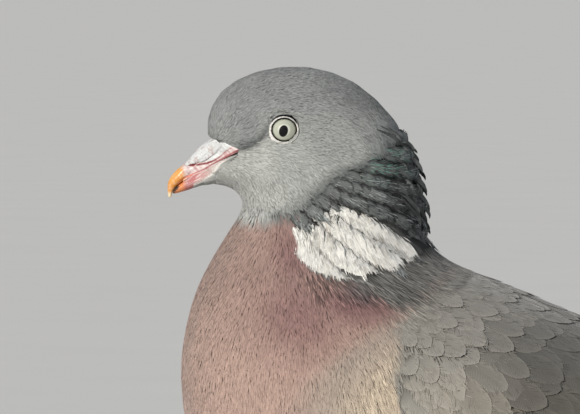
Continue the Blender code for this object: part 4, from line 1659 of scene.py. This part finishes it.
class PIGEON_OT_flight_feathers(bpy.types.Operator):
    """The long tertials, secondaries and primaries of both folded wings"""

    bl_idname = "pigeon.flight_feathers"
    bl_label = "Flight feathers"

    def track(self, form, side, root, tip):
        """One feather's path on the form, from root to tip, arched a little in the side view."""
        track = []
        for t in vane_stations(14):
            spot = root + (tip - root) * t + (0, 1.6 * math.sin(math.pi * t))
            hit = form.from_side(*spot, side)
            if hit is None:
                hit = np.array((spot[0], track[-1][0][0, 1], spot[1]))
            place, normal = form.snap(hit[None])
            place[0, [0, 2]] = spot
            track.append((place, normal))
        places, normals = (np.concatenate(values) for values in zip(*track))
        for _ in range(3):
            places[1:-1, 1] = (places[:-2, 1] + 2 * places[1:-1, 1] + places[2:, 1]) / 4
        return track_of(places, normals)

    def execute(self, context):
        colours, form = colours_now(), Shapes.outer
        material = feather_material("flight feathers", 0.9, 0.08, 0.5, slant=0.55)
        base = {
            "tertial": mix(colours["covert"], colours["secondary"], 0.25),
            "secondary": colours["secondary"],
            "primary": colours["primary"],
        }
        for side, word in SIDES:
            coat = Coat()
            for number, (tip, length, fall, width, layer, kind) in enumerate(
                flight_feather_plan()
            ):
                track = self.track(form, side, tip - length * heading(math.radians(fall)), tip)
                primary = kind == "primary"
                edge = colours["primary_edge" if primary else "covert_edge"]
                add_vanes(
                    coat, form, track[0][0], track[0][2], base[kind][None], edge[None], length,
                    width, 0.6, layer, 0.5, grid=(8, 14), narrow=0.6, shoulder=0.5,
                    round_tip=2.4 if primary else 1.3, camber=0.1, fray=0.012,
                    fringe_from=0.86 if primary else 0.75, seed=50 + number, track=track,
                )
            coat = coat.build(f"flight_feathers_{word}", cells=True)
            finish_piece(coat, material)
        return {"FINISHED"}


# The spread tail's middle line: how far back, then its half width and the height of its top
TAIL_BACK = (206, 226, 262, 290, 303)
TAIL_HALF = (16, 20.5, 27, 31, 31)
TAIL_TOP = (-136.2, -143.0, -155.2, -164.2, -168.0)


class PIGEON_OT_tail(bpy.types.Operator):
    """Twelve tail feathers, spread a little, with a dark band at the end"""

    bl_idname = "pigeon.tail"
    bl_label = "Tail"

    def execute(self, context):
        colours, form = colours_now(), Shapes.outer
        stations = vane_stations(16)
        coat = Coat()
        for i in (5, -5, 4, -4, 3, -3, 2, -2, 1, -1, 0.35, -0.35):
            spread_to = i * 4.6
            length = 96.0 - 0.32 * i * i
            x, y = -206 - length * stations, spread_to * (0.52 + 0.48 * stations)
            half, top = (np.interp(-x, TAIL_BACK, values) for values in (TAIL_HALF, TAIL_TOP))
            z = top + 0.06 * half * (1 - (y / half) ** 2) + 1.1 - 0.42 * abs(i)
            track = track_of(np.stack([x, y, z], axis=1), unit(np.array((0.0, 0.02 * i, 1.0))))
            base = colours["tail"][None]
            add_vanes(
                coat, form, track[0][0], track[0][2], base, base * 1.06, length, 16.5, 0.0, 0.0,
                0.45, grid=(8, 16), narrow=0.6, shoulder=0.45, round_tip=0.8, camber=0.03,
                fray=0.012, fringe_from=0.85, seed=80 + int(i * 3),
                tip_band=(colours["tail_band"], (0.62, 0.72)), track=track,
            )
        material = feather_material("tail feathers", 0.9, 0.08, 0.55, slant=0.55)
        finish_piece(coat.build("tail_feathers", cells=True), material, ["tail"])
        return {"FINISHED"}


# ---------------------------------------------------------------- eyes, bill and legs


class PIGEON_OT_eyes(bpy.types.Operator):
    """Both eyeballs, with a pale iris and an egg-shaped pupil, and their rings of bare skin"""

    bl_idname = "pigeon.eyes"
    bl_label = "Eyes"

    def in_oval(self, tree, place, half):
        """A place measured in an oval's half widths, in the side view, and its length."""
        flat = node(
            tree, "ShaderNodeVectorMath",
            {"operation": "MULTIPLY", 1: (1 / (half[0] * MM), 0, 1 / (half[1] * MM))}, {0: place},
        )
        far = node(tree, "ShaderNodeVectorMath", {"operation": "LENGTH"}, {0: flat.outputs[0]})
        return flat.outputs[0], far.outputs["Value"]

    def eyeball_material(self, middle):
        # A wet cornea over a pale iris: bright, hard gloss and no grain
        made, tree, shader = new_material(
            "pale iris under a wet cornea", Roughness=0.4, Coat_Weight=0.35, Coat_Roughness=0.03,
            Specular_IOR_Level=0.1,
        )
        place = node(tree, "ShaderNodeTexCoord")
        away = node(
            tree, "ShaderNodeVectorMath", {"operation": "SUBTRACT", 1: middle},
            {0: place.outputs["Object"]},
        )
        flat, far = self.in_oval(tree, away.outputs[0], IRIS)
        moved = node(
            tree, "ShaderNodeVectorMath",
            {"operation": "SUBTRACT", 1: (0.2 * MM, 0.0, -0.33 * MM)}, {0: away.outputs[0]},
        )
        leant = node(
            tree, "ShaderNodeVectorRotate",
            {"rotation_type": "Y_AXIS", "Angle": math.radians(14)},
            {"Vector": moved.outputs[0]},
        )
        _, inner = self.in_oval(tree, leant.outputs[0], PUPIL)
        split = node(tree, "ShaderNodeSeparateXYZ", links={0: flat})
        turn = node(
            tree, "ShaderNodeMath", {"operation": "ARCTAN2"},
            {0: split.outputs[0], 1: split.outputs[2]},
        )
        polar = node(tree, "ShaderNodeCombineXYZ", links={0: turn.outputs[0], 1: far})
        rays = node(
            tree, "ShaderNodeTexNoise", {"Scale": 7.0, "Detail": 4.0, "Roughness": 0.7},
            {"Vector": polar.outputs[0]},
        )
        drift = node(
            tree, "ShaderNodeMath", {"operation": "MULTIPLY_ADD", 1: 0.16, 2: -0.08},
            {0: rays.outputs["Fac"]},
        )
        worn = node(tree, "ShaderNodeMath", {"operation": "ADD"}, {0: far, 1: drift.outputs[0]})
        iris = node(
            tree, "ShaderNodeValToRGB", links={"Fac": worn.outputs[0]},
            stops=[(0.40, "#d2d5c8"), (0.52, "#b2b5a6"), (0.74, "#b6b9aa"), (0.82, "#989b89"),
                   (0.875, "#2c2c28"), (0.91, "#090908")],
        )
        edge = node(
            tree, "ShaderNodeValToRGB", links={"Fac": inner},
            stops=[(0.90, "#000000"), (1.0, "#ffffff")],
        )
        both = node(
            tree, "ShaderNodeMix", {"data_type": "RGBA", 6: (*srgb("#0b0b0c"), 1.0)},
            {0: edge.outputs[0], 7: iris.outputs[0]},
        )
        link_shader(tree, shader, Base_Color=both.outputs[2])
        return made

    def taken_in(self, name):
        """The shape just added, named, with its place and turn taken into its points."""
        bpy.ops.object.transform_apply(location=True, rotation=True, scale=True)
        made = bpy.context.object
        made.name = name
        made.data.shade_smooth()
        return made

    def shape_ball(self, ball, side):
        """Lets the cornea bulge a little over the iris."""
        places = points_of(ball)
        out = (places - np.array((EYE[0], side * EYE_OUT, EYE[1]))) / EYE_RADIUS
        facing = side * out[:, 1]
        places[:, 1] += side * 0.35 * smooth(facing, 0.72, 1.0)
        move_points(ball, places)

    def shape_ring(self, ring, side):
        """Fits the bare skin between the eyeball and the face."""
        places = points_of(ring)
        flat = places[:, [0, 2]] - EYE
        far = np.linalg.norm(flat, axis=1)
        way = flat / far[:, None]
        # Wider towards the bill and below, and drawn to a corner there
        wide = 0.24 + 0.05 * way[:, 0] - 0.05 * way[:, 1]
        inner = 1 / np.hypot(way[:, 0] / 3.82, way[:, 1] / 3.55)
        cross = (far - RING_RADIUS) / RING_THICK
        rise = (places[:, 1] * side - EYE_OUT) / RING_THICK
        bumps = 0.05 * ripple(places, 0.7, 71 + side)
        corner = smooth(way @ unit(np.array((0.86, -0.5))), 0.93, 1.0)
        radius = inner + wide * (1 + cross) + bumps + 0.35 * corner * (cross + 1) / 2
        outer = EYE + way * (inner + 2.3 * wide)[:, None]
        face = [Shapes.outer.from_side(px, pz, side)[1] * side for px, pz in outer]
        on_ball = EYE_OUT + np.sqrt(np.maximum(EYE_RADIUS**2 - radius**2, 0))
        edge = np.maximum(np.array(face) + 0.14, on_ball - 0.1)
        height = on_ball + (edge - on_ball) * smooth(cross, -0.4, 1.0) + 0.28 * rise + bumps
        places[:, [0, 2]] = EYE + way * radius[:, None]
        places[:, 1] = side * height
        move_points(ring, places)

    def execute(self, context):
        low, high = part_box("eye_left")
        middle = (low + high) / 2
        middle.z = (EYE[1] + CROWN[2]) * MM
        wet = self.eyeball_material((middle.x, 0.0, middle.z))
        # Bare orbital skin: matt, finely pebbled, whitish
        bare = toned_material(
            "orbital skin", "ShaderNodeTexVoronoi", {"Scale": 2.6 / MM},
            [(0.0, "#efeeea"), (0.55, "#dedcd6"), (1.0, "#9d9994")],
            {"Strength": 0.5, "Distance": 0.1 * MM, "invert": True},
            Roughness=0.6, Specular_IOR_Level=0.35,
        )
        for side, word in SIDES:
            centre = (middle.x, side * middle.y, middle.z)
            deselect()
            bpy.ops.mesh.primitive_uv_sphere_add(
                segments=72, ring_count=48, radius=EYE_RADIUS * MM, location=centre,
                rotation=(math.radians(-90 * side), 0, 0),
            )
            ball = self.taken_in(f"eyeball_{word}")
            self.shape_ball(ball, side)
            finish_piece(ball, wet, [f"eye_{word}"])
            deselect()
            bpy.ops.mesh.primitive_torus_add(
                major_segments=96, minor_segments=18, major_radius=RING_RADIUS * MM,
                minor_radius=RING_THICK * MM, location=centre, rotation=(math.radians(90), 0, 0),
            )
            ring = self.taken_in(f"orbital_ring_{word}")
            self.shape_ring(ring, side)
            finish_piece(ring, bare)
        return {"FINISHED"}


CERE_BULGE = math.sqrt(3)  # reach of the small swelling at the cere's root
# The line of the mouth and the nostril's slit, in the side view
GAPE = np.array([(14.0, -23.6), (16.2, -24.6), (18.3, -25.8), (21.6, -27.7), (24.9, -29.8),
                 (28.3, -31.3), (31.2, -32.5), (34.0, -34.6)])
NOSTRIL = np.array([(17.2, -23.3), (18.9, -24.6), (20.4, -26.0), (22.4, -27.3), (24.5, -28.1),
                    (27.0, -28.5), (29.5, -28.8)])


def flared(obj):
    """Widens the bill's root, so that it runs into the face at the feathers' edge."""
    places = points_of(obj)
    own = BVHTree.FromPolygons(places.tolist(), faces_of(obj).tolist())
    made = places.copy()
    inward = np.where(bare_bill(places), 1, -1) * away_from_line(places, BARE[1:-1])[0]
    gape, _ = away_from_line(places, GAPE)
    to_face = smooth(inward, 5.5, 0.4) * smooth(inward, -1.8, -0.8)
    squared = smooth(gape, 2.8, 0.8)
    for i, (x, y, z) in enumerate(places):
        hit = own.ray_cast((x, 60, z), (0, -1, 0))[0]
        if hit is None or hit[1] < 0.3 or x > 31.5:
            continue
        edge = float(np.interp(x, (14, 19, 23, 26, 29.5, 31.5), (5.4, 5.2, 4.9, 4.2, 3.0, 2.4)))
        wanted = hit[1] + max(edge - hit[1], 0) * squared[i]
        side = max(float(smooth(hit[1], 2.5, 4.2)), squared[i])
        face = Shapes.outer.from_side(x, z, 1)
        if face is not None:
            sunk = 0.15 + 0.6 * float(smooth(-inward[i], 0, 1))
            wanted += max(face[1] - sunk - wanted, 0) * to_face[i] * side
        made[i, 1] = y * min(wanted / hit[1], 3.0)
    return made


class PIGEON_OT_bill(bpy.types.Operator):
    """Upper and lower bill with their horn tips, and the white cere with its nostril slits"""

    bl_idname = "pigeon.bill"
    bl_label = "Bill and cere"

    def finish_horn(self, obj, made, swell, shade, look, slot, replaced):
        """Moves and paints a part of the bill, and gives it a horn or skin of streaky grain."""
        move_points(obj, made + normals_of(obj) * swell[:, None])
        paint(obj.data, "Horn", shade)
        name, roughness, coat, grain_mm, bump = look
        horn = grained_material(
            name, "Horn", {"Scale": 1 / (grain_mm * MM), "Detail": 5.0, "Roughness": 0.7},
            {"Strength": bump, "Distance": 0.2 * MM}, (0.72, 1.28),
            {"Rotation": (0, math.radians(-35), 0), "Scale": (1.0, 0.5, 2.2)},
            Roughness=roughness, Coat_Weight=coat, Coat_Roughness=0.2, Specular_IOR_Level=0.45,
        )
        finish_piece(obj, horn, [replaced])

    def add_chin(self, form):
        """The chin's smallest feathers, which run forward under the lower bill."""
        roots, normals = scatter(
            form, 0.3, lambda p, n: ~bare_bill(p) & (p[:, 0] > 20) & (p[:, 0] < 29), 68
        )
        ways = lie_of(roots, normals)
        rng = np.random.default_rng(68)
        shade = tinted(plumage(roots - (4, 0, 0), colours_now()), roots, rng, 0.05)
        coat = Coat()
        add_tufts(
            coat, form, roots, ways, shade, 1.5, 0.36, 0.05, 0.12, 0.04, 0.9, roundness=0.15
        )
        look = feather_material("chin feathers", 0.4, 0.04, 0.85)
        finish_piece(coat.build("coat_chin"), look)

    def make_upper(self):
        """Keratin, waxy and pinkish at the side, orange at the hooked nail."""
        upper = rebuilt("bill_upper_horn", ["bill_upper"], grow=0.12, voxel=0.24, rounds=8)
        places = points_of(upper)
        gape, along = away_from_line(places, GAPE)
        slit, slit_along = away_from_line(places, NOSTRIL)
        x, z = places[:, 0], places[:, 2]
        slanted = np.stack([x + 1.8 * z, places[:, 1], z - 0.55 * x], axis=1)
        streaks = ripple(slanted * (0.35, 1, 2.6), 1.1, 61)
        over_slit = smooth(z - np.interp(x, *NOSTRIL.T), 0.1, 0.5) * smooth(x, 27, 23)
        chalk = mix(srgb("#cfd1d0"), srgb("#e4e7e7"), smooth(ripple(places, 0.8, 64), 0, 1))
        nail = smooth(x - 0.35 * (z + 31), 30.3, 32.4)
        top = smooth(z + 0.9 * (x - 33), -33.5, -29.5)
        worn = smooth(ripple(places, 0.9, 69), -0.2, 0.9)
        orange = mix(srgb("#dd9548"), srgb("#e9b062"), top * (0.7 + 0.3 * streaks))
        edge = smooth(gape, 0.5, 0.15) * smooth(along, 1.0, 0.75)
        cut = smooth(slit / (0.2 + 0.25 * slit_along), 1.1, 0.5)
        shade = layered(
            srgb("#d6c6c3"),
            (srgb("#b4767a"), 0.6 * smooth(streaks, 0.0, 0.8)),
            (srgb("#ece4df"), smooth(-streaks, 0.1, 0.8) * 0.6),
            (chalk, over_slit),
            (mix(orange, srgb("#e6cfae"), worn * 0.35), nail),
            (srgb("#efdcb4"), smooth(z, -36.0, -37.6) * (x > 33)),
            (mix(srgb("#8f3c40"), srgb("#d2603c"), smooth(x, 26, 30)), edge * 0.85),
            (srgb("#7a2426"), cut * (0.5 + 0.5 * smooth(slit_along, 0.2, 0.6))),
        )
        made = flared(upper)
        ridge = smooth(normals_of(upper)[:, 2] + 0.6 * normals_of(upper)[:, 0], -0.1, 0.7)
        made[:, 2] += 0.7 * ridge * np.exp(-(((x - 31.2) / 1.3) ** 2))
        made[:, 2] += 0.7 * spot_at(places, 20.6, -22.6, CERE_BULGE, CERE_BULGE)
        self.finish_horn(
            upper, made, 0.03 * ripple(places, 0.9, 62), shade,
            ("bill horn", 0.38, 0.25, 0.5, 0.25), "bill_horn", "bill_upper",
        )

    def make_lower(self):
        """Rosy horn with fine upright folds, and a pale flaky edge at the chin."""
        lower = rebuilt("bill_lower_horn", ["bill_lower"], grow=0.12, voxel=0.24, rounds=8)
        places = points_of(lower)
        gape, _ = away_from_line(places, GAPE)
        x, z = places[:, 0], places[:, 2]
        run = x * 0.83 + z * -0.5
        folds = np.sin(run * 2 * math.pi / 0.55 + 2.6 * ripple(places, 1.2, 63))
        folds = folds * (0.2 + 0.8 * smooth(ripple(places, 1.6, 60), -0.2, 0.4))
        rails = ripple(np.stack([0.3 * run, places[:, 1], 2.4 * (z + 0.6 * x)], axis=1), 1.0, 58)
        low = smooth(z + 0.42 * (x - 30), -34.6, -35.4)
        from_edge = away_from_line(places, BARE[6:-1])[0] + 0.35 * ripple(places, 0.6, 59)
        flaky = smooth(from_edge, 0.9, 0.3) * (x < 28.5) * (z < -28)
        seam = mix(srgb("#8f3c40"), srgb("#cf6a44"), smooth(x, 26, 30))
        shade = layered(
            srgb("#bb7170"),
            (srgb("#e2d3cf"), smooth(0.6 * folds + rails, -0.4, 0.9) * 0.8),
            (srgb("#c9c6c0"), smooth(x, 27.5, 22) * 0.8),
            (seam, smooth(gape, 0.7, 0.3) * 0.7),
            (srgb("#ad5a55"), low * 0.7),
            (srgb("#dcd8d2"), flaky),
        )
        shade[~bare_bill(places) & (x < 28.5)] = colours_now()["throat"]
        # A dark spot between the tip of the lower bill and the hook: a painted shadow in the gap.
        hook_gap_shadow = np.hypot((x - 33.1) + 0.5 * (z + 35.6), (z + 35.6) * 0.5)
        hook_gap_shadow = smooth(hook_gap_shadow + 0.3 * ripple(places, 0.5, 57), 0.8, 0.4)
        shade = layered(
            shade, (srgb("#d98a58"), smooth(x, 30.2, 31.8)), (srgb("#3d2a20"), hook_gap_shadow)
        )
        made = flared(lower)
        # The lip rises to close the mouth, and the tip reaches the hook
        lip = smooth(normals_of(lower)[:, 2], 0.1, 0.7) * smooth(x, 31, 28)
        made[:, 2] += 0.6 * lip - 0.45 * smooth(x, 31.5, 33.5)
        made[:, 0] += 1.0 * smooth(x, 31.0, 33.5)
        self.finish_horn(
            lower, made, 0.07 * folds * smooth(x, 32, 30) * smooth(gape, 0.3, 1.0), shade,
            ("lower bill horn", 0.42, 0.15, 0.5, 0.25), "lower_bill_horn", "bill_lower",
        )
        self.add_chin(Form(lower))

    def make_cere(self):
        """Soft, swollen skin, chalk white and flaking."""
        cere = rebuilt("cere_swelling", ["cere"], grow=0.1, voxel=0.2, rounds=8)
        places = points_of(cere)
        slit, _ = away_from_line(places, NOSTRIL)
        flakes = ripple(places, 0.8, 64) + 0.6 * ripple(places, 0.4, 65)
        shade = layered(
            srgb("#d0d3d3"),
            (srgb("#bdb4b2"), smooth(ripple(places, 1.6, 66), 0.2, 1.0)),
            (srgb("#e6e9e9"), smooth(flakes, 0.1, 0.9) * 0.6),
            (srgb("#b07f7d"), smooth(ripple(places, 0.7, 67), 0.7, 1.0) * 0.4),
            (srgb("#a8474a"), smooth(slit, 0.45, 0.15) * 0.8),
        )
        made = flared(cere)
        made[:, 2] += 0.7 * spot_at(places, 21, -22.3, CERE_BULGE, CERE_BULGE)
        self.finish_horn(
            cere, made, 0.07 * flakes - 0.25 * smooth(slit, 0.8, 0.2), shade,
            ("cere skin", 0.75, 0.0, 0.35, 0.5), "cere_skin", "cere",
        )

    def execute(self, context):
        self.make_upper()
        self.make_lower()
        self.make_cere()
        return {"FINISHED"}


TOE_TURNS = {"middle": 4.0, "inner": -38.0, "outer": 42.0, "hind": 172.0}
FOOT = (-70.0, 21.0)  # where the toes meet: behind the crown, and off the middle
FLOOR = -CROWN[2]


class PIGEON_OT_legs(bpy.types.Operator):
    """The scaled shanks and toes, and the claws"""

    bl_idname = "pigeon.legs"
    bl_label = "Legs, toes and claws"

    def execute(self, context):
        # Leg skin: leathery scutes, rosy red, dusty and paler at their edges
        skin = grained_material(
            "scaled leg skin", "Horn", {"Scale": 1.8 / MM, "Detail": 4.0},
            {"Strength": 0.3, "Distance": 0.2 * MM}, (0.7, 1.3), Roughness=0.55,
        )
        # Claw horn: dark and smooth, in two tones that follow a fine grain
        horn = toned_material(
            "claw horn", "ShaderNodeTexNoise", {"Scale": 0.9 / MM, "Detail": 3.0},
            [(0.3, "#2b2624"), (0.75, "#5d524b")], Roughness=0.35, Coat_Weight=0.2,
        )
        for side, word in SIDES:
            nodes = [f"{part}_{word}" for part in ("tarsus", "foot")]
            nodes += [f"toe_{name}_{word}" for name in TOE_TURNS]
            leg = rebuilt(f"leg_{word}", nodes, grow=0.17, voxel=0.38, rounds=6)
            places = points_of(leg)
            normals = normals_of(leg)
            height = places[:, 2] - FLOOR
            foot = np.array((FOOT[0], side * FOOT[1], FLOOR))
            off = places - foot
            shank = smooth(height, 5.5, 7.5)
            up = off @ unit(np.array((-12.0, 0.0, 28.6)))
            along = np.zeros(len(places))
            best = np.full(len(places), -1e9)
            for turn in TOE_TURNS.values():
                angle = math.radians(side * turn)
                way = np.array((math.cos(angle), math.sin(angle), 0))
                score = off @ way - 2.0 * np.abs(off @ np.array((-way[1], way[0], 0)))
                along = np.where(score > best, off @ way, along)
                best = np.maximum(best, score)
            front = smooth(normals[:, 0], -0.1, 0.6)
            top = smooth(normals[:, 2], 0.0, 0.6)
            plate = np.where(shank > 0.5, (up / 2.3) % 1.0, (along / 1.75) % 1.0)
            face = np.where(shank > 0.5, front, top)
            scute = np.sin(math.pi * plate) ** 0.5
            pebble = ripple(places, 1.0, 73) * 0.05
            swell = (0.22 * (scute - 0.7) * face + pebble) * smooth(height, 0.2, 1.2)
            shade = layered(
                srgb("#8d4347"),
                (srgb("#b06a68"), 0.5 + 0.5 * ripple(places, 6, 74)),
                (srgb("#d3b3a9"), smooth(scute, 0.55, 0.2) * face * 0.7),
                (srgb("#c2a79b"), 0.5 * smooth(pebble, 0.0, 0.05) * (1 - face)),
                (srgb("#77605a"), smooth(height, 1.2, 0.2) * 0.6),
            )
            places = places + normals * swell[:, None]
            places[:, 2] = np.maximum(places[:, 2], FLOOR)
            move_points(leg, places)
            paint(leg.data, "Horn", shade)
            finish_piece(leg, skin, nodes)

            nodes = [f"claw_{name}_{word}" for name in TOE_TURNS]
            claws = rebuilt(f"claws_{word}", nodes, grow=0.06, voxel=0.22, rounds=6)
            places = points_of(claws)
            places[:, 2] = np.maximum(places[:, 2], FLOOR)
            move_points(claws, places)
            finish_piece(claws, horn, nodes)
        return {"FINISHED"}


# ---------------------------------------------------------------- floor, light and camera


SENSOR_WIDTH = 36.0


class PIGEON_OT_stage(bpy.types.Operator):
    """A plain pale floor, soft light and the camera"""

    bl_idname = "pigeon.stage"
    bl_label = "Floor, light and camera"

    def execute(self, context):
        scene = context.scene
        deselect()
        bpy.ops.mesh.primitive_circle_add(
            vertices=96, radius=60.0, fill_type="NGON", location=(0, 0, 0)
        )
        floor = context.object
        floor.name = "floor"
        paper = toned_material(
            "matt paper floor", "ShaderNodeTexNoise", {"Scale": 9.0, "Detail": 2.0},
            [(0.0, "#dddcd8"), (1.0, "#e2e1dd")], Roughness=0.95,
        )
        floor.data.materials.append(paper)

        world = bpy.data.worlds.new("pale studio")
        scene.world = world
        world.use_nodes = True
        background = world.node_tree.nodes["Background"]
        background.inputs["Color"].default_value = (*srgb("#e9eff8"), 1.0)
        background.inputs["Strength"].default_value = 0.42

        # A low, warm main light from the camera's side, a little ahead of the bird
        deselect()
        bpy.ops.object.light_add(type="SUN", location=(1, 2, 1))
        sun = context.object
        sun.name = "main_light"
        sun.data.energy = 3.1
        sun.data.color = srgb("#fff9f1")
        sun.data.angle = math.radians(5)
        towards = Vector((0.66, 0.9, 0.4))
        sun.rotation_euler = towards.to_track_quat("Z", "Y").to_euler()

        sizes = sizes_now()
        centre = Vector((sizes["view_centre_x"], 0.015, sizes["view_centre_z"]))
        distance = sizes["view_width"] * sizes["focal_length"] / SENSOR_WIDTH
        rise = sizes["camera_rise"]
        data = bpy.data.cameras.new("camera")
        data.lens = sizes["focal_length"]
        data.sensor_width = SENSOR_WIDTH
        data.clip_end = 500.0
        camera = bpy.data.objects.new("camera", data)
        scene.collection.objects.link(camera)
        back = Vector((0.0, math.cos(rise), math.sin(rise)))
        camera.location = centre + back * distance
        camera.rotation_euler = (-back).to_track_quat("-Z", "Y").to_euler()
        scene.camera = camera
        scene.view_settings.view_transform = "Standard"
        return {"FINISHED"}


# ---------------------------------------------------------------- panel, registration and run

STEPS = [
    PIGEON_OT_skin, PIGEON_OT_soft_coat, PIGEON_OT_hackles, PIGEON_OT_coverts,
    PIGEON_OT_flight_feathers, PIGEON_OT_tail, PIGEON_OT_eyes, PIGEON_OT_bill, PIGEON_OT_legs,
    PIGEON_OT_stage,
]


class PIGEON_PT_panel(bpy.types.Panel):
    """Lists the pieces in the order in which they are made"""

    bl_idname = "PIGEON_PT_panel"
    bl_label = "Wood pigeon"
    bl_space_type = "VIEW_3D"
    bl_region_type = "UI"
    bl_category = "Pigeon"

    def draw(self, context):
        for step in STEPS:
            self.layout.operator(step.bl_idname)
        for group in (context.scene.pigeon_sizes, context.scene.pigeon_colours):
            for name in group.__annotations__:
                self.layout.prop(group, name)


CLASSES = [PigeonSizes, PigeonColours, *STEPS, PIGEON_PT_panel]


def register():
    for each in CLASSES:
        bpy.utils.register_class(each)
    bpy.types.Scene.pigeon_sizes = bpy.props.PointerProperty(type=PigeonSizes)
    bpy.types.Scene.pigeon_colours = bpy.props.PointerProperty(type=PigeonColours)


def unregister():
    del bpy.types.Scene.pigeon_sizes
    del bpy.types.Scene.pigeon_colours
    for each in reversed(CLASSES):
        bpy.utils.unregister_class(each)


def main():
    register()
    for step in STEPS:
        group, name = step.bl_idname.split(".")
        getattr(getattr(bpy.ops, group), name)()


if __name__ == "__main__":
    main()
